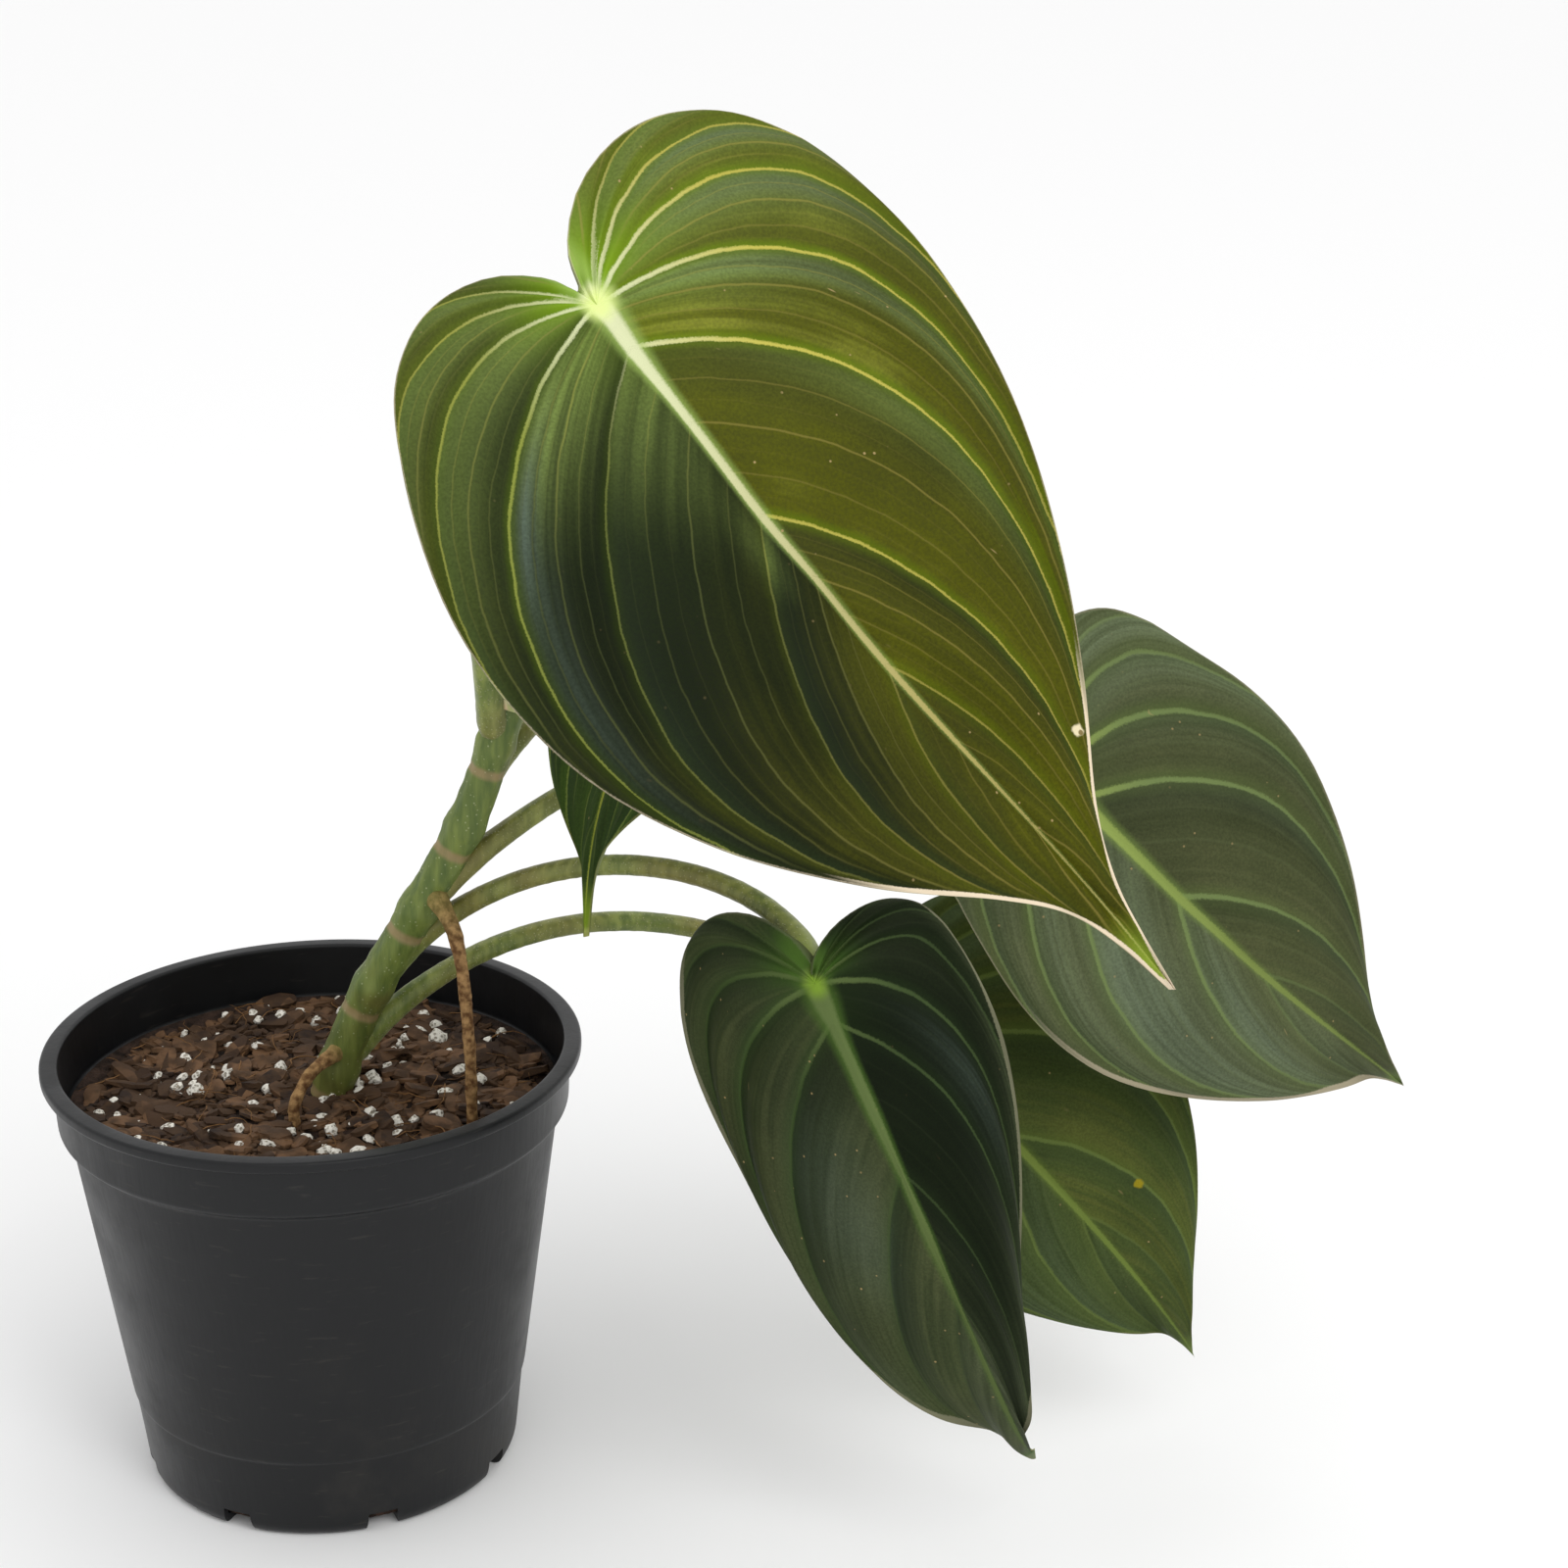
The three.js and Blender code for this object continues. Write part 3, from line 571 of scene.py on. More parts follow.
def stem_radius(s):
    """The stem tapers, swells at each leaf's foot and is nipped in at the scar below it."""
    swell = max(math.exp(-((s - foot) / 0.02) ** 2) for foot in LEAF_FEET)
    scar = max(math.exp(-((s - foot + SCAR_BELOW_LEAF) / 0.006) ** 2) for foot in LEAF_FEET)
    return STEM_RADIUS * (1 - 0.18 * s) + 0.5 * swell - 0.22 * scar


stem_finish = Finish("green_stem", roughness=0.5, specular_ior_level=0.4)
along = stem_finish.attribute("along")
streaks = stem_finish.noise(420, 5, stem_finish.stretched((1, 1, 0.1)), 0.6)
stem_finish.colour("#4b5f26")
stem_finish.coat(streaks.step(0.3, 0.75), "#76843c")
stem_finish.coat(stem_finish.noise(60, 3).step(0.45, 0.75, 0.0, 0.55), "#6a5a30")
stem_finish.coat(along.fade(0.12, 0.5, 0.85) * stem_finish.noise(140, 3), "#6b5230")
for foot in LEAF_FEET:
    from_scar = stem_finish.math("ABSOLUTE", along - (foot - SCAR_BELOW_LEAF))
    stem_finish.coat(from_scar.fade(0.003, 0.012, 0.8) * streaks.step(0.2, 0.6, 0.5, 1.0), "#97805a")
stem_finish.coat(stem_finish.cells(900).fade(0.08, 0.2, 0.4), "#c3c79a")
stem_finish.bump(streaks, 0.0003)
stem_cane = stalk_on("stem_cane", stem_path, stem_radius, stem_finish, rings=150, sides=40, ridges=9.0,
                     ridge_depth=0.00007, grain=300.0, grain_depth=0.0006)
settle(stem_cane, "stem", "stem")

# Aerial roots
# Cord-like brown roots from the stem's nodes, by which the plant holds on and drinks. They bend down and
# run into the mix.
ROOTS = [  # where on the stem, which way round, how far out, how deep
    (0.34, -118, 17, 9),
    (0.5, 105, 20, 8),
    (0.66, -60, 15, 9),
]
ROOT_RADIUS = 1.2


def root_radius(s):
    """A root swells where it breaks out of the stem, and is a little uneven along its length."""
    swell = 1 - 0.15 * s + 0.8 * math.exp(-(s / 0.16) ** 2)
    return ROOT_RADIUS * swell * (1 + 0.05 * math.sin(34 * s + 5 * s * s))


root_finish = Finish("aerial_root_bark", roughness=0.85, specular_ior_level=0.2)
root_finish.colour("#5b3d22")
root_finish.coat(root_finish.noise(700, 4).step(0.3, 0.7), "#a88558")
root_finish.coat(root_finish.attribute("along").fade(0.0, 0.25, 0.6), "#8b8a4a")
root_finish.bump(root_finish.noise(2600, 3), 0.0003)
for i, (foot, azimuth, spread, depth) in enumerate(ROOTS):
    start = stem_path.at(foot)
    out = np.array([math.cos(math.radians(azimuth)), math.sin(math.radians(azimuth)), 0])
    entry = start * [1, 1, 0] + out * spread
    shoulder = start + out * spread * 0.7
    heights = (start[2] * 0.4, 1.5, -depth)
    root_path = Path([start, [*shoulder[:2], start[2] * 0.86], *([*entry[:2], z] for z in heights)])
    root_cord = stalk_on(f"root_cord_{i + 1}", root_path, root_radius, root_finish, rings=90, sides=18,
                         ridges=5.0, ridge_depth=0.00004, grain=900.0, grain_depth=0.0005)
    settle(root_cord, "root", f"aerial_root_{i + 1}")

# Growing spear
# The next leaf, still rolled round itself into a point, on the stem's tip. A thin pale sheath, split down
# one side, wraps its foot.
SPEAR_POINTS = [(0, 0, 0), (2, 1, 20), (2, 4, 42), (-1, 9, 62)]
SPEAR_RINGS = 120
SPEAR_SIDES = 56
SHEATH_HEIGHT = 0.52
SHEATH_WALL = 0.3
SHEATH_GAP = 0.25
SHEATH_SPLIT = 0.7
SHEATH_ROWS = 36
SHEATH_COLUMNS = 48

spear_foot = stem_path.at(1.0) + 0.3 * stem_path.direction(1.0)
spear_points = [np.array(p) + spear_foot for p in SPEAR_POINTS]
spear_points.insert(1, spear_foot + 6 * stem_path.direction(1.0))
spear_path = Path(spear_points)


def spear_radius(s):
    return 0.25 + 3.3 * math.cos(math.pi / 2 * min(s, 1.0) ** 1.6) ** 0.8


def rolled_radius(s, angle):
    """The rolled blade's free edge winds up the spear as a low step."""
    turn = (angle / (2 * math.pi) + 1.3 * s) % 1
    return spear_radius(s) * (0.9 + 0.12 * turn ** 1.5)


spear_finish = Finish("young_leaf_roll", roughness=0.42, specular_ior_level=0.4, sheen_weight=0.2)
spear_lines = spear_finish.noise(700, 3, spear_finish.stretched((1, 1, 0.06)))
spear_finish.colour("#7f9440")
spear_finish.coat(spear_lines.step(0.35, 0.65), "#b9bb72")
spear_finish.bump(spear_lines, 0.0002)
spear_line = np.array([spear_path.at(s) for s in np.linspace(0, 1, SPEAR_RINGS)]) + SOIL_CENTRE
rolled_leaf = new_piece("rolled_leaf", *swept(spear_line, rolled_radius, SPEAR_SIDES), spear_finish)
settle(rolled_leaf, "spear", "growing_spear")


def sheath():
    """Open wrap round the spear's foot, its top drawn out to a point on the side away from the split."""
    across = np.cross(spear_path.direction(0.0), [0, 1, 0])
    points = []
    for shell in (SHEATH_WALL, 0.0):
        for i in range(SHEATH_ROWS + 1):
            for k in range(SHEATH_COLUMNS + 1):
                u = k / SHEATH_COLUMNS * 2 - 1
                angle = u * (math.pi - SHEATH_SPLIT / 2)
                s = SHEATH_HEIGHT * (1 - 0.72 * abs(u) ** 1.4) * i / SHEATH_ROWS
                ahead = spear_path.direction(s)
                side = across - ahead * np.dot(across, ahead)
                side /= np.linalg.norm(side)
                out = side * math.cos(angle) + np.cross(ahead, side) * math.sin(angle)
                flare = 0.9 * (i / SHEATH_ROWS) ** 3
                points.append(spear_path.at(s) + SOIL_CENTRE
                              + out * (spear_radius(s) + SHEATH_GAP + shell + flare))
    return points, box_faces(np.arange(len(points)).reshape(2, SHEATH_ROWS + 1, SHEATH_COLUMNS + 1))


sheath_finish = Finish("papery_sheath", roughness=0.55, specular_ior_level=0.35)
sheath_lines = sheath_finish.noise(900, 3, sheath_finish.stretched((1, 1, 0.05)))
sheath_finish.colour("#a9b777")
sheath_finish.coat(sheath_lines.step(0.35, 0.65), "#d9cfa4")
sheath_finish.coat(sheath_finish.noise(90, 2).step(0.5, 0.8), "#b58a62")
sheath_finish.bump(sheath_lines, 0.00025)
settle(new_piece("spear_sheath", *sheath(), sheath_finish), "spear")

# Petioles
# The round stalks of the leaves, green with a bronze tinge: each clasps the stem with a wider foot, runs up
# slim and finely rough, and thickens to a knee just below its blade.
PETIOLE_RADIUS = 1.9
PETIOLE_FOOT_RADIUS = 3.4
JOINT_DEPTH = 1.5
# Oldest leaf first. at is where stalk and blade meet, in millimetres from the soil's middle. heading, pitch
# and roll are degrees; arch, droop, fold, cup and twist bend the blade, in radians. Pairs are for the left
# and the right half, as seen with the tip down, but leave is the stalk's way off the stem in degrees (round,
# up), and reach is how far it holds that way and the blade's.
LEAVES = [
    dict(at=(110.5, -5, 16), length=104, heading=-21, pitch=42, roll=55, arch=0.27, droop=0.77,
         fold=0.0, cup=0.42, twist=0.25, wide=(0.96, 1.05), lobe=(1, 1), taper=(-0.12, -0.15),
         shoulder=(0, 0.045), sweep=0.01, wave=0.012, waves=2.3, leave=(14, 48), reach=(62, 42)),
    dict(at=(95, -48, 43), length=123, heading=-37, pitch=64, roll=58, arch=-0.25, droop=1.64,
         fold=-0.5, cup=0.5, twist=-0.28, wide=(0.97, 0.635), lobe=(1, 0.58), taper=(0.06, -0.78),
         shoulder=(0.08, -0.03), sweep=0.025, wave=0.012, waves=2.6, leave=(6, 50), reach=(48, 34)),
    dict(at=(137.5, -17, 70.5), length=113, heading=-3, pitch=38, roll=65, arch=0.23, droop=0.66,
         fold=0.05, cup=0.35, twist=-0.08, wide=(0.89, 1.02), lobe=(0.985, 1.065), taper=(0, -0.43),
         shoulder=(-0.085, -0.17), sweep=-0.04, wave=0.01, waves=2.2, leave=(8, 44), reach=(62, 46)),
    dict(at=(82, 4, 112), length=84, heading=-127, pitch=34, roll=8, arch=0.3, droop=0.5,
         fold=0.15, cup=0.4, twist=0, wide=(0.96, 0.96), lobe=(1, 1), taper=(0, 0),
         shoulder=(0, 0), sweep=0, wave=0.01, waves=2.4, leave=(40, 62), reach=(34, 30)),
    dict(at=(62, -82.5, 168), length=137, heading=-22.5, pitch=40, roll=33, arch=0.07, droop=0.43,
         fold=0.18, cup=0.32, twist=0.05, wide=(1.06, 1.045), lobe=(0.85, 1.025), taper=(0.156, -0.34),
         shoulder=(-0.006, -0.02), sweep=-0.05, wave=0.006, waves=2.1, leave=(-95, 66), reach=(62, 52)),
]


def blade_axes(leaf):
    """Columns: towards the tip, across to the leaf's own left, and out of its upper face."""
    h, p, r = (math.radians(leaf[key]) for key in ("heading", "pitch", "roll"))
    x = np.array([math.cos(p) * math.cos(h), math.cos(p) * math.sin(h), -math.sin(p)])
    level = np.array([-math.sin(h), math.cos(h), 0])
    y = level * math.cos(r) + np.cross(x, level) * math.sin(r)
    return np.stack([x, y, np.cross(x, y)], 1)


def petiole_path(leaf, foot):
    """The stalk leaves the stem the leaf's own way and arrives from behind its blade."""
    azimuth, rise = (math.radians(angle) for angle in leaf["leave"])
    out = np.array([math.cos(rise) * math.cos(azimuth), math.cos(rise) * math.sin(azimuth), math.sin(rise)])
    start = stem_path.at(foot) + 1.5 * out
    axes = blade_axes(leaf)
    arrive = 0.5 * axes[:, 0] + 0.86 * axes[:, 2]
    joint = np.array(leaf["at"], float) - JOINT_DEPTH * arrive
    leaving, arriving = leaf["reach"]
    points = [start, start + out * leaving, joint - arrive * (arriving - JOINT_DEPTH), joint]
    return Path(points, handles=True)


def petiole_radius(s):
    """Wide foot, slim stalk, knee below the blade, and rounded ends."""
    foot = (PETIOLE_FOOT_RADIUS - PETIOLE_RADIUS) * math.exp(-s / 0.09)
    knee = 0.45 * math.exp(-((s - 0.93) / 0.06) ** 2)
    ends = 1 - 0.45 * max(0.0, (s - 0.975) / 0.025) ** 2 - 0.5 * max(0.0, 1 - s / 0.035) ** 2
    return (PETIOLE_RADIUS + foot + knee) * ends


petiole_finish = Finish("bronze_green_stalk", roughness=0.46, specular_ior_level=0.4, sheen_weight=0.15)
fine_lines = petiole_finish.noise(600, 4, petiole_finish.stretched((1, 1, 0.2)))
pimples = petiole_finish.cells(1500).fade(0.1, 0.3, 0.5)
petiole_finish.colour("#566e2c")
petiole_finish.coat(fine_lines.step(0.3, 0.7), "#8c9a4e")
petiole_finish.coat(petiole_finish.noise(45, 2).step(0.35, 0.75, 0.1, 0.6), "#7d6433")
petiole_finish.coat(petiole_finish.attribute("along").step(0.82, 1.0, 0.0, 0.85), "#a5b85e")
petiole_finish.coat(pimples, "#b9bb85")
petiole_finish.bump(pimples, 0.0002)
for i, leaf in enumerate(LEAVES):
    leaf_stalk = stalk_on(f"leaf_stalk_{i + 1}", petiole_path(leaf, LEAF_FEET[i]), petiole_radius,
                          petiole_finish, rings=130, sides=32, ridges=7.0, ridge_depth=0.00003, grain=700.0,
                          grain_depth=0.00025)
    settle(leaf_stalk, "petiole", f"petiole_{i + 1}")

# Leaf blades
# Thin heart-shaped blades with a long drip tip, velvety and dark, puffed up between sunken pale veins that
# fan out of the notch and arch to the margin. Each grew in one piece with its stalk.
OUTLINE = np.array([
    (-0.027, 0), (-0.07, 0.021), (-0.111, 0.074), (-0.125, 0.144), (-0.107, 0.212),
    (-0.052, 0.277), (0.06, 0.334), (0.196, 0.358), (0.364, 0.336), (0.52, 0.27),
    (0.656, 0.18), (0.768, 0.086), (0.842, 0.036), (0.915, 0.013), (1, 0),
])
# For veins 0 (in the notch) to 8 (at the tip): the outline's point where each ends, where it leaves the
# midrib, its angle there, and how strongly it keeps its direction at both ends.
VEIN_END = np.array([0, 3.45, 5.45, 7.35, 9.1, 10.35, 11.3, 12.35, 14])
VEIN_START = np.array([0, 0, 0, 0, 0, 0.06, 0.29, 0.5, 1])
VEIN_ANGLE = np.array([180, 150, 138, 118, 82, 60, 42, 26, 10])
VEIN_LEAVE = np.array([1, 1.1, 1.35, 1.5, 1.4, 1.2, 0.8, 1, 1])
VEIN_ARRIVE = np.array([1, 0.8, 1.3, 1.5, 1.5, 1.5, 1.4, 1.2, 1])
VEIN_TURN = math.radians(5)
SHOULDER_AT = 0.05
SHOULDER_LENGTH = 0.2
HALF_WIDTH = 0.34
BROAD_PUFF = 0.0035
QUILTING = 0.5
VEIN_GROOVE = 0.26
VEIN_RIDGE = 0.55
MIDRIB_GROOVE = 0.3
MIDRIB_DEPTH = 1.5
MIDRIB_WIDTH = 1.8
BLADE_THICKNESS = 0.6
ROWS_PER_VEIN = 16
ROWS_IN_TIP = 56
COLUMNS = 56
BEND_STEPS = 24
NUDGE = 0.01


def through(values, u):
    """Smooth curve through evenly numbered values: value and slope at u."""
    slopes = np.gradient(values)
    i = np.clip(np.floor(u).astype(int), 0, len(values) - 2)
    t = u - i
    a, b, p, q = values[i], values[i + 1], slopes[i], slopes[i + 1]
    start, leave, end, arrive = curve_weights(t)
    value = start * a + leave * p + end * b + arrive * q
    rate = (6 * t * t - 6 * t) * (a - b) + (3 * t * t - 4 * t + 1) * p + (3 * t * t - 2 * t) * q
    return value, rate


def flat_leaf(f, t):
    """Flat leaf of unit length: the point on side vein f, t of the way from midrib to margin."""
    f, t = np.broadcast_arrays(np.asarray(f, float), np.asarray(t, float))
    end = through(VEIN_END, f)[0]
    start = np.maximum(0, through(VEIN_START, f)[0])
    angle = np.radians(through(VEIN_ANGLE, f)[0])
    ex, dx = through(OUTLINE[:, 0], end)
    ey, dy = through(OUTLINE[:, 1], end)
    size = np.hypot(dx, dy)
    dx, dy = dx / size, dy / size
    c, s = math.cos(VEIN_TURN), math.sin(VEIN_TURN)
    blend = np.minimum(f, 1)
    ax = -1 + (dx * c - dy * s + 1) * blend
    ay = (dx * s + dy * c) * blend
    size = np.hypot(ax, ay)
    chord = np.hypot(ex - start, ey)
    come = chord * through(VEIN_ARRIVE, f)[0] / size
    leave, rise, arrive = curve_weights(t)[1:]
    leave = leave * (chord * through(VEIN_LEAVE, f)[0])
    x = start + (ex - start) * rise + leave * np.cos(angle) + arrive * come * ax
    y = ey * rise + leave * np.sin(angle) + arrive * come * ay
    return x, y


def crowded(count):
    """Steps from 0 to 1 that lie closer together at both ends."""
    u = np.linspace(0, 1, count + 1)
    return u - 0.11 * np.sin(2 * np.pi * u)


vein_rows = np.concatenate([k + crowded(ROWS_PER_VEIN)[:-1] for k in range(7)] + [7 + crowded(ROWS_IN_TIP)])
row_f, column_t = np.meshgrid(vein_rows, crowded(COLUMNS), indexing="ij")
flat_x, flat_y = flat_leaf(row_f, column_t)
f_before, f_after = np.clip(row_f - NUDGE, 0, 8), np.clip(row_f + NUDGE, 0, 8)
t_before, t_after = np.clip(column_t - NUDGE, 0, 1), np.clip(column_t + NUDGE, 0, 1)
df = (np.array(flat_leaf(f_after, column_t)) - flat_leaf(f_before, column_t)) / (f_after - f_before)
dt = (np.array(flat_leaf(row_f, t_after)) - flat_leaf(row_f, t_before)) / (t_after - t_before)
vein_gap = np.abs(df[0] * dt[1] - df[1] * dt[0]) / np.maximum(np.hypot(*dt), 1e-9)
margin = np.stack(flat_leaf(np.linspace(0, 8, 900), 1.0), -1)
margin_gap = np.sqrt(np.array([((margin - p) ** 2).sum(1).min() for p in
                               np.stack([flat_x.ravel(), flat_y.ravel()], -1)])).reshape(flat_x.shape)
between_veins = np.abs(row_f - np.round(row_f)) * vein_gap
has_vein = ((row_f > 0.5) & (row_f < 7.5)).astype(float)


def bent_blade(leaf, side, lift):
    """Points of one half of the blade in millimetres, lift millimetres above its even surface."""
    half = 1 if side > 0 else 0
    x = np.where(flat_x < 0, flat_x * leaf["lobe"][half], flat_x)
    shoulder = leaf["shoulder"][half] * np.exp(-((flat_x - SHOULDER_AT) / SHOULDER_LENGTH) ** 2)
    u = flat_y * leaf["wide"][half] * (1 + leaf["taper"][half] * (flat_x - 0.3) + shoulder)
    rate = leaf["cup"] / HALF_WIDTH
    tilt = leaf["fold"] - rate * u
    across = side * (math.sin(leaf["fold"]) - np.sin(tilt)) / rate
    rise = (np.cos(tilt) - math.cos(leaf["fold"])) / rate
    along, up = np.zeros_like(x), np.zeros_like(x)
    for k in range(BEND_STEPS):
        s = x * (k + 0.5) / BEND_STEPS
        bend = leaf["arch"] * s + leaf["droop"] * s * s
        along += np.cos(bend) * x / BEND_STEPS
        up -= np.sin(bend) * x / BEND_STEPS
    bend = leaf["arch"] * x + leaf["droop"] * x * x
    turn = leaf["twist"] * x
    puff = -BROAD_PUFF * np.cos(2 * np.pi * row_f) * 4 * column_t * (1 - column_t)
    ripple = leaf["wave"] * np.sin(2 * np.pi * leaf["waves"] * (row_f / 8 + 0.15 * side)) * column_t ** 3
    raised = puff + ripple + lift / leaf["length"]
    lean = np.where(flat_y > 0, side * tilt, 0)
    y = across * np.cos(turn) - rise * np.sin(turn) - raised * np.sin(lean + turn)
    z = across * np.sin(turn) + rise * np.cos(turn) + raised * np.cos(lean + turn)
    sweep = leaf["sweep"] * np.sin(np.pi * np.clip(x, 0, 1))
    local = np.stack([along + np.sin(bend) * z, y + sweep, up + np.cos(bend) * z], -1) * leaf["length"]
    return local @ blade_axes(leaf).T + np.array(leaf["at"]) + SOIL_CENTRE


def blade_relief(leaf, side, under):
    """How far the upper or under skin of one half lies above the blade's even surface."""
    length = leaf["length"]
    rib, vein = np.abs(flat_y) * length, between_veins * length
    swell = np.array([noise.noise(Vector((p, q, side + leaf["heading"])))
                      for p, q in zip((flat_x * 5).ravel(), (flat_y * 5).ravel())]).reshape(flat_x.shape)
    quilting = np.minimum(QUILTING, 0.045 * vein_gap * length) * (1 - column_t ** 3)
    lift = 0.5 * swell * np.minimum(1, rib / 8) + quilting * np.sin(np.pi * row_f) ** 2
    if not under:
        groove = VEIN_GROOVE * np.exp(-(vein / 0.6) ** 2) * has_vein * (1 - 0.6 * column_t)
        return lift - np.maximum(groove, MIDRIB_GROOVE * np.exp(-rib ** 2))
    ridge = MIDRIB_DEPTH * (1 - 0.85 * np.clip(flat_x, 0, 1)) * np.exp(-(rib / MIDRIB_WIDTH) ** 2)
    ridge = np.maximum(ridge, VEIN_RIDGE * np.exp(-(vein / 0.7) ** 2) * has_vein * (1 - 0.7 * column_t))
    thick = BLADE_THICKNESS * (0.45 + 0.55 * np.minimum(1, margin_gap * length / 1.2))
    return lift - thick - ridge


def blade_values(leaf, side, under):
    """What the finish has to know at each point of one half of the blade."""
    length, half = leaf["length"], 1 if side > 0 else 0
    rim_from, rim_to, rim_side = leaf["rim"]
    rim = np.clip((row_f - rim_from) / 0.5, 0, 1) * np.clip((rim_to - row_f) / 0.5, 0, 1)
    values = {
        "vein": row_f, "across": column_t, "gap": vein_gap * length, "rib": np.abs(flat_y) * length,
        "edge": margin_gap * length, "along": flat_x, "joint": np.hypot(flat_x, flat_y),
        "under": np.full_like(flat_x, under), "rim": rim * (rim_side * side >= 0),
        "power": np.array(leaf["power"][half])[np.round(row_f).astype(int)],
    }
    # the gold tint on each half is partly painted light and shade; the grey and the bluish patches are
    # painted sheen
    for key, base in (("gold_tint_and_light", leaf["half_tint_and_light"][half]), ("painted_sheen", 0.0), ("painted_blue_sheen", 0.0)):
        values[key] = np.full_like(flat_x, base)
        for where, f, t, wide_f, wide_t, amount in leaf.get(key, ()):
            if where in (0, side):
                values[key] += amount * np.exp(-((row_f - f) / wide_f) ** 2 - ((column_t - t) / wide_t) ** 2)
    return values


def blade_mesh(name, leaf, finish):
    """Closed blade with the values its finish needs stored on its points."""
    points, values = [], []
    for under in (0, 1):
        for side in (1, -1):
            points.append(bent_blade(leaf, side, blade_relief(leaf, side, under)).reshape(-1, 3))
            values.append(blade_values(leaf, side, under))
    points = np.concatenate(points)
    ids = np.arange(len(points)).reshape(2, 2, *flat_x.shape)
    joint_rows = through(VEIN_START, vein_rows)[0] <= 0
    for one, other in ids:
        one[joint_rows, 0] = one[0, 0]
        one[-1, :] = one[-1, 0]
        other[:, 0] = one[:, 0]
        other[0, :] = one[0, :]
        other[-1, :] = one[-1, 0]
    faces = quads(ids[0, 0]) + quads(ids[0, 1].T) + quads(ids[1, 0].T) + quads(ids[1, 1])
    faces += quads(ids[:, 0, :, -1].T) + quads(ids[:, 1, :, -1])
    faces = [[p for k, p in enumerate(face) if p != face[k - 1]] for face in faces]
    faces = [face for face in faces if len(face) > 2 and len(set(face)) == len(face)]
    used = np.unique(np.concatenate(faces))
    order = np.full(len(points), -1)
    order[used] = np.arange(len(used))
    piece = new_piece(name, points[used], [order[face].tolist() for face in faces], finish, sharp=70)
    for key in values[0]:
        store = piece.data.attributes.new(key, "FLOAT", "POINT")
        joined = np.concatenate([part[key].ravel() for part in values])
        store.data.foreach_set("value", joined[used].astype(np.float32))
    return piece


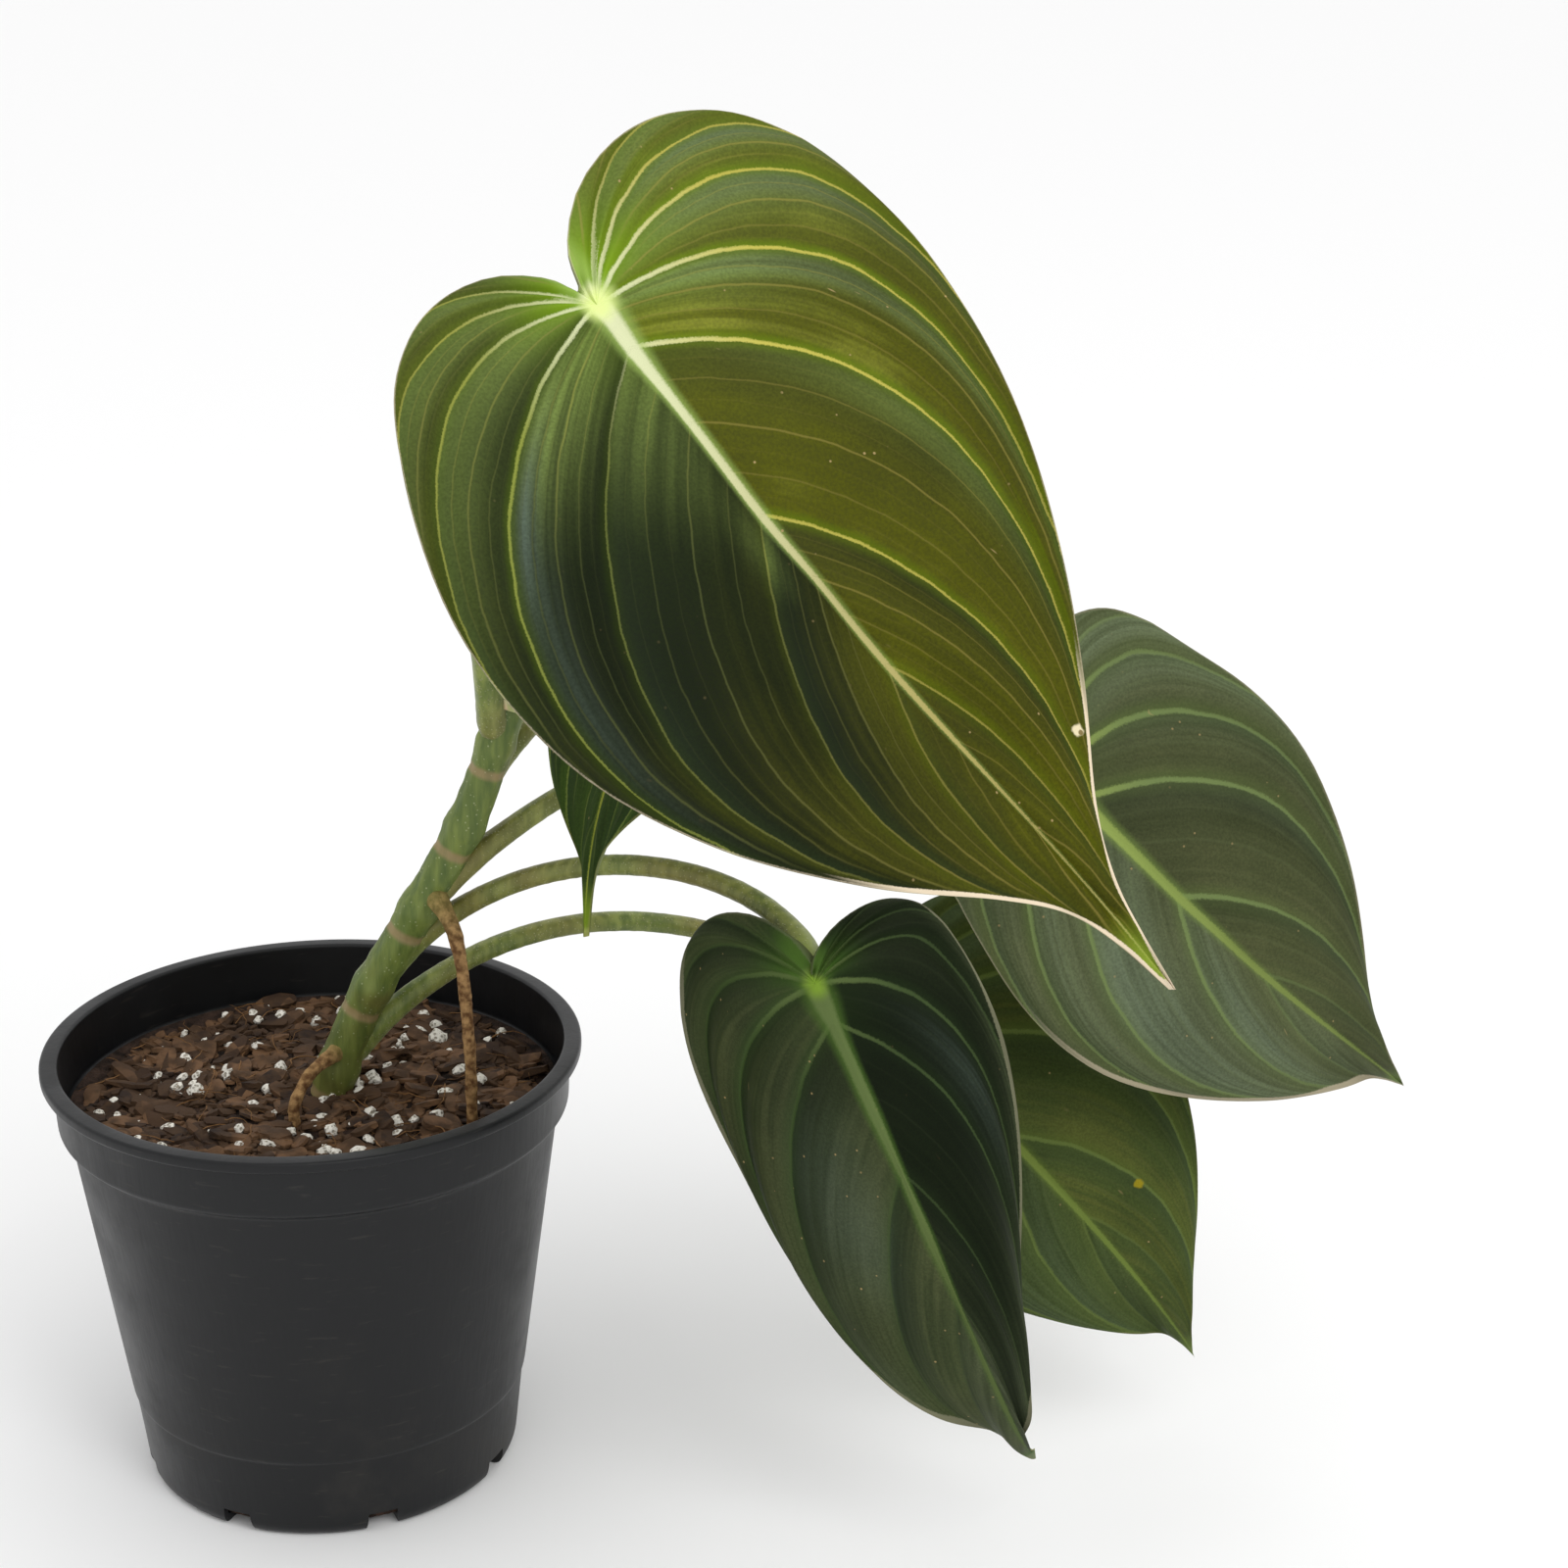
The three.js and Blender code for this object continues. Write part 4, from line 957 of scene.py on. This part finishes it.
def blade_finish(name, dark, mid, warm, sunny, sheen_shade_blue, sheen_grey, halo, vein, fine, rib, rib_end, rim, soft, margin,
                 stalk_sheen, knot, fresh, marks):
    """Velvety leaf: dark green to golden olive between pale sunken veins, the gold partly painted light and
    shade, with painted sheen near the stalk and past each vein.
    """
    leaf = Finish(name, roughness=0.55, specular_ior_level=0.05)
    number, across, gap, along, rib_gap, edge, joint, gold_tint_and_light, power = (leaf.attribute(key) for key in (
        "vein", "across", "gap", "along", "rib", "edge", "joint", "gold_tint_and_light", "power"))
    grain, cloud, cloud_fine = leaf.noise(2200, 3), leaf.noise(55, 3), leaf.noise(900, 3)
    fuzz = (leaf.noise(3400, 2) - 0.5) * (0.42 * soft)
    wobble = (leaf.noise(110, 2) - 0.5) * 1.1
    phase = leaf.math("FRACT", number)
    flow = leaf.add("ShaderNodeCombineXYZ", 0, {"X": number * 11.0, "Y": across * 1.4, "Z": gold_tint_and_light})
    streak = leaf.noise(1.0, 4, flow)

    def line_gap(count, fuzzy):
        """Millimetres to the nearest of count lines from one side vein to the next."""
        turn = leaf.math("FRACT", number * count + 0.5)
        away = (turn - 0.5) / count * gap + wobble
        return leaf.math("ABSOLUTE", away) + fuzz * fuzzy

    # the broad tones: dark to golden, partly the leaf's gold tint and partly painted light, rising across
    # each gap between side veins;
    # then a painted bluish sheen and shade past each vein, a painted sheen near the stalk and in patches,
    # then the velvet's grain
    tone = gold_tint_and_light * phase.step(0.03, 0.8, 0.42, 1.0).or_more(number.step(5.5, 7.2) * 0.8)
    tone = tone * streak.step(0.3, 0.7, 0.75, 1.15) * cloud.step(0.3, 0.7, 0.8, 1.12)
    leaf.colour(dark)
    leaf.coat(tone.step(0.0, 0.5), mid)
    leaf.coat(tone.step(0.45, 1.05), warm)
    leaf.coat(tone.step(1.0, 1.8), sunny)
    # painted sheen and shade of the puffed blade: a bluish band just past each side vein
    painted_quilt_sheen = phase.fade(0.0, 0.36, 0.75) * across.step(0.1, 0.7, 0.35, 1.0)
    leaf.coat(painted_quilt_sheen * number.step(5.2, 7.0, 1.0, 0.45), sheen_shade_blue)
    # painted sheen: greyer and lighter near the stalk
    painted_stalk_sheen = joint.fade(0.06, 0.55, stalk_sheen) * number.step(3.4, 4.5, 1.0, 0.1)
    # painted grey sheen near the stalk and in patches, strongest just past each side vein
    painted_sheen = painted_stalk_sheen.or_more(leaf.attribute("painted_sheen") * streak.step(0.3, 0.7, 0.55, 1.25))
    painted_sheen = painted_sheen * phase.step(0.2, 0.85, 1.15, 0.4)
    leaf.coat(painted_sheen, sheen_grey)
    # painted bluish sheen in patches
    leaf.coat(leaf.attribute("painted_blue_sheen") * streak.step(0.25, 0.7, 0.55, 1.2), "#56645a")
    velvet = grain.step(0.25, 0.75, 0.84, 1.18) * leaf.noise(32, 3).step(0.3, 0.7, 0.88, 1.13)
    leaf.colour(leaf.add("ShaderNodeHueSaturation", 0, {"Value": velvet, "Color": leaf.base}))

    # the glow beside the side veins and the fresh green in the lobes
    main_gap = line_gap(1, 1.0)
    shine = main_gap.fade(0.15, 1.9 * soft) * power * across.step(0.1, 1.0, 1.0, 0.45)
    shine = shine * phase.step(0.3, 0.7, 0.4, 0.7) * gold_tint_and_light.step(0.2, 0.9, 0.35, 1.0)
    lime = joint.fade(0.01, 0.17, 0.85) * number.step(2.6, 4.2, 1.0, 0.2)
    leaf.coat(lime.or_more(shine), leaf.mix(lime, halo, fresh))

    # the fine lines between the side veins, then the side veins themselves
    lines = line_gap(2, 0.35).fade(0.05, 0.27 * soft, 0.68) * gap.step(2, 6)
    lines = lines.or_more(line_gap(4, 0.35).fade(0.04, 0.22 * soft, 0.38) * gap.step(4, 9))
    broken = leaf.noise(0.8, 2, flow).step(0.3, 0.6, 0.4, 1.0)
    lines = lines.or_more(line_gap(8, 0.3).fade(0.03, 0.17 * soft, 0.1) * gap.step(8, 15) * broken)
    lines = lines / (soft * soft)
    # where the painted sheen lies, the fine lines take on its grey
    leaf.coat(lines, leaf.mix(painted_sheen, leaf.mix(gold_tint_and_light, *fine), leaf.mix(0.35, sheen_grey, vein[1])))
    width = (across.step(0.0, 0.8, 0.2, 0.04) * power + 0.13) * soft
    core = (main_gap / width).fade(0.5, 1.5) * across.step(0.1, 0.95, 0.95, 0.42)
    core = core * power.step(0.0, 0.9, 0.0, 1.0)
    leaf.coat(core, leaf.mix(joint.step(0.0, 0.2), rib, leaf.mix(gold_tint_and_light, *vein)))

    # the midrib, the knot where the stalk joins and the drip tip
    rib_width = (along * -0.86 + 0.9 + along.fade(-0.02, 0.14, 0.8)) * (0.5 + 0.5 * soft)
    rib_line = (rib_gap + fuzz * 0.9) / rib_width
    rib_glow = rib_line.fade(0.8, 2.6, 0.6) * along.step(0.0, 0.7, 1.0, 0.35)
    leaf.coat(rib_glow, leaf.mix(0.25, fresh, rib))
    rib_core = rib_line.fade(0.6, 1.3) * along.step(-0.03, -0.015)
    rib_core = rib_core * along.step(0.5, 0.95, 1.0, 0.75)
    leaf.coat(rib_core, leaf.mix(along.step(0.0, 0.6), rib, rib_end))
    leaf.coat(joint.fade(0.006, 0.03, 0.9), knot)
    leaf.coat(along.step(0.87, 0.96, 0.0, 0.75), leaf.mix(0.3, fresh, rib_end))
    leaf.coat(along.step(0.975, 0.99, 0.0, 0.9), leaf.mix(0.5, rib, rib_end))

    # the pale margin, specks, scratches and single marks
    rim_gap = (edge + fuzz * 0.5) / along.step(0.8, 0.97, margin, 0.3)
    leaf.coat(rim_gap.fade(0.85, 1.2) * leaf.attribute("rim"), rim)
    leaf.coat(rim_gap.fade(0.1, 0.5, 0.4), rim)
    speck = leaf.cells(260).fade(0.035, 0.075, 0.8) * leaf.noise(70, 1).step(0.42, 0.55)
    scratch = leaf.cells(60, leaf.stretched((1, 7, 1), (0.4, 0.2, 0.9))).fade(0.03, 0.06, 0.55)
    leaf.coat(speck.or_more(scratch * cloud.step(0.52, 0.6)) * gold_tint_and_light, "#a58e62")
    for *place, size, spot in marks:
        away = leaf.add("ShaderNodeVectorMath", "Value", {0: leaf.place, 1: place}, operation="DISTANCE")
        away = away + (cloud_fine - 0.5) * size
        leaf.coat(away.fade(0.6 * size, 1.1 * size, 0.9), spot)

    # the underside: duller and browner, with the veins standing out pale
    below = leaf.mix(cloud.step(0.3, 0.7), leaf.mix(0.45, mid, "#6b7448"), leaf.mix(0.5, mid, "#7a6f4c"))
    below = leaf.mix(lines * 0.6, below, "#8d9566")
    real = number.step(0.4, 0.6) * number.fade(7.4, 7.6)
    below = leaf.mix(main_gap.fade(0.3, 2.4, 0.5) * real, below, "#8e9a68")
    below = leaf.mix((core * 0.8).or_more(rib_core), below, "#a9ad78")
    leaf.coat(leaf.attribute("under"), below)
    leaf.roughness(grain.step(0.2, 0.8, 0.48, 0.64))
    leaf.bump(grain * 0.35 - lines, 0.00012, 0.7)
    return leaf


# One column for each leaf, oldest first.
TONES = dict(
    dark=("#1c270f", "#0b1306", "#20260f", "#141f10", "#0d1508"),
    mid=("#3b4721", "#2a321c", "#3d4228", "#2c3c18", "#3b3d0c"),
    warm=("#4e5526", "#3e4429", "#4e5033", "#465420", "#464807"),
    # brightest step of the gold tone, where it is partly painted light
    sunny=("#5a6428", "#4a5230", "#5a6040", "#56662a", "#6b6e20"),
    # painted bluish sheen and shade just past each side vein
    sheen_shade_blue=("#323e2b", "#11190c", "#333b2c", "#22301f", "#1b2516"),
    # grey of the painted sheen near the stalk and in patches
    sheen_grey=("#4f5d3f", "#4b533a", "#5c664b", "#3a4c28", "#66763a"),
    halo=("#4c5c26", "#2f4320", "#4f5f30", "#5a7c28", "#5e7607"),
    vein=(("#5f6f36", "#63733a"), ("#40502e", "#3c4e28"), ("#65764a", "#6a7a46"),
          ("#7a8a40", "#8c9a4c"), ("#7f8a3c", "#b8af50")),
    fine=(("#414b28", "#4c532e"), ("#222a18", "#343c26"), ("#4c5538", "#525a3a"),
          ("#3e4c22", "#4a5728"), ("#3c4526", "#746b30")),
    rib=("#76873f", "#5f7040", "#84954c", "#b0ba74", "#cbd0a6"),
    rib_end=("#637334", "#4c5a30", "#6a783e", "#8c9038", "#a0965a"),
    rim=("#777350", "#6f6f58", "#938b74", "#84804f", "#d8c8ae"),
    soft=(1.5, 1.7, 1.8, 1.0, 1.0),
    margin=(0.5, 0.6, 1.0, 0.4, 0.58),
    # how strong the painted sheen near the stalk is
    stalk_sheen=(0.6, 0.12, 0.5, 0.6, 0.72),
    knot=("#76873f", "#7f9f34", "#7b8f4c", "#b0ba74", "#d6e490"),
    fresh=("#566a28", "#44661f", "#5d7438", "#6c9016", "#7ba214"),
    marks=(  # place in metres, size, colour
        [(0.15718, -0.0087, 0.0604, 0.0011, "#8f8018")],
        [],
        [],
        [],
        [(0.13373, -0.09893, 0.18287, 0.0011, "#e0d3ae"),
         (0.13413, -0.09893, 0.18247, 0.0005, "#6b5a2c"),
         (0.1232, -0.0896, 0.207, 0.0004, "#c9965c"),
         (0.1185, -0.0868, 0.2135, 0.0004, "#b98f5a"),
         (0.1222, -0.0893, 0.2087, 0.0003, "#c9a06c"),
         (0.1124, -0.0865, 0.219, 0.0003, "#b0883c")]),
)
VEINS_SHOW = (0, 0.5, 0.6, 0.8, 1, 0.9, 0.7, 0.3, 0)
# The first pair is the tone of the left and the right half, partly the leaf's gold tint and partly painted
# light and shade, and power how plainly each vein shows there. rim names the veins between which the margin
# is pale, and on which half (1 right, -1 left, 0 both). The patches after them, gold tint with painted
# light, painted grey sheen and painted bluish
# sheen, give: half, vein number, share of the way to the margin, their two widths, how strong.
BLADE_LOOKS = [
    dict(half_tint_and_light=(0.55, 0.85), rim=(9, 9, 1), power=(VEINS_SHOW,) * 2,
         painted_sheen=[(-1, 5, 0.6, 2, 0.8, 0.6), (1, 3.5, 0.4, 0.8, 0.5, 0.3)]),
    dict(half_tint_and_light=(0.95, 0.08), rim=(1.5, 8, 0), power=((0, 0.4, 0.5, 0.7, 0.8, 0.6, 0.4, 0.2, 0),) * 2,
         painted_sheen=[(-1, 4.5, 1.0, 3, 0.3, 0.75), (1, 5, 1.0, 4, 0.3, 0.6), (0, 8, 0.5, 1, 2, 0.8)],
         painted_blue_sheen=[(-1, 5.6, 0.35, 0.5, 0.2, 0.25), (1, 4.5, 0.45, 0.3, 0.2, 0.2)]),
    dict(half_tint_and_light=(0.6, 0.6), rim=(3, 8.6, -1), power=(VEINS_SHOW,) * 2,
         painted_sheen=[(1, 2.0, 0.6, 1.7, 1, 0.85), (-1, 5.3, 0.5, 2.2, 0.8, 0.75)],
         painted_blue_sheen=[(-1, 5.3, 0.5, 0.35, 0.35, 0.25), (-1, 6.3, 0.5, 0.3, 0.3, 0.2)]),
    dict(half_tint_and_light=(0.5, 0.5), rim=(9, 9, 1), power=(VEINS_SHOW,) * 2),
    dict(half_tint_and_light=(0.05, 0.95), rim=(4.6, 8.6, 0),
         power=((0, 0.8, 0.9, 1, 1, 0.3, 0.2, 0.2, 0), (0, 0.6, 0.8, 1, 1, 0.9, 0.6, 0.3, 0)),
         gold_tint_and_light=[(-1, 7.6, 0.3, 0.75, 0.6, 1.1), (-1, 6.4, 0.9, 1.3, 0.3, 0.8),
                 (-1, 6.3, 0.2, 0.6, 0.4, 0.15), (-1, 1.5, 0.6, 1.6, 1, 0.4),
                 (1, 4.75, 0.25, 0.45, 0.35, 0.55), (1, 3.5, 0.3, 0.6, 0.35, 0.4),
                 (1, 2.5, 0.6, 0.8, 0.5, 0.5), (1, 5.4, 0.1, 0.4, 0.15, 0.3)],
         painted_sheen=[(1, 2.2, 0.75, 1.2, 0.35, 0.2), (1, 3.4, 0.2, 0.5, 0.3, 0.6), (1, 4.3, 0.1, 0.5, 0.2, 0.8),
                 (1, 4.2, 0.6, 0.25, 0.3, 0.4), (1, 5.1, 0.5, 0.2, 0.3, 0.3),
                 (-1, 4.25, 0.2, 0.35, 0.15, 0.8), (-1, 3.1, 0.15, 0.4, 0.2, 0.6),
                 (-1, 5.15, 0.05, 0.5, 0.15, 0.5), (-1, 4.7, 0.12, 0.16, 0.15, 1.2),
                 (-1, 4.45, 0.05, 0.2, 0.07, 0.5), (-1, 5.9, 0.1, 0.22, 0.07, 0.5)],
         painted_blue_sheen=[(-1, 4.17, 0.36, 0.09, 0.12, 0.6), (-1, 4.3, 0.6, 0.2, 0.25, 0.2),
                (1, 3.25, 0.45, 0.2, 0.3, 0.3), (1, 2.2, 0.6, 0.2, 0.3, 0.3),
                (1, 4.2, 0.3, 0.15, 0.3, 0.25)]),
]
for i, leaf in enumerate(LEAVES):
    leaf.update(BLADE_LOOKS[i])
    finish = blade_finish(f"velvet_leaf_{i + 1}", **{key: of_leaves[i] for key, of_leaves in TONES.items()})
    settle(blade_mesh(f"heart_leaf_{i + 1}", leaf, finish), "blade", f"blade_{i + 1}")

# Floor, light and camera
# A plain white floor that runs out of view, a bright even surround, a soft light from high up and a large
# lamp in front, as in a product photograph. The camera looks down from where the photo was taken.
FLOOR_REACH = 20000
FLOOR_DROP = 0.2
KEY_LIGHT_PLACE = Vector((0.7, -0.9, 1.1))
KEY_LIGHT_TARGET = Vector((0.08, 0, 0.15))

floor_finish = Finish("white_floor", roughness=0.9, specular_ior_level=0.1, base_color=(0.9, 0.9, 0.9, 1.0))
floor_corners = [(x * FLOOR_REACH, y * FLOOR_REACH, -FLOOR_DROP)
                 for x, y in ((-1, -1), (1, -1), (1, 1), (-1, 1))]
new_piece("floor", floor_corners, [(0, 1, 2, 3)], floor_finish)

world = bpy.data.worlds.new("surround")
world.use_nodes = True
world.node_tree.nodes["Background"].inputs["Color"].default_value = (1.0, 1.0, 1.0, 1.0)
world.node_tree.nodes["Background"].inputs["Strength"].default_value = 0.95
bpy.context.scene.world = world

high_light = bpy.data.lights.new("high_soft_light", "SUN")
high_light.energy = 0.5
high_light.angle = math.radians(50)
in_scene("high_soft_light", high_light).rotation_euler = (math.radians(38), math.radians(22), 0)

key_light = bpy.data.lights.new("key_light", "AREA")
key_light.shape = "DISK"
key_light.size = 0.7
key_light.energy = 5
lamp = in_scene("key_light", key_light)
lamp.location = KEY_LIGHT_PLACE
lamp.rotation_euler = (KEY_LIGHT_TARGET - KEY_LIGHT_PLACE).to_track_quat("-Z", "Y").to_euler()

lens = bpy.data.cameras.new("photo_camera")
lens.sensor_width = 36
lens.lens = 72
lens.clip_start = 0.01
camera = in_scene("photo_camera", lens)
camera.location = (0.089625, -0.543808, 0.336184)
camera.rotation_euler = (math.radians(70), 0, 0)
bpy.context.scene.camera = camera
bpy.context.scene.view_settings.view_transform = "Standard"
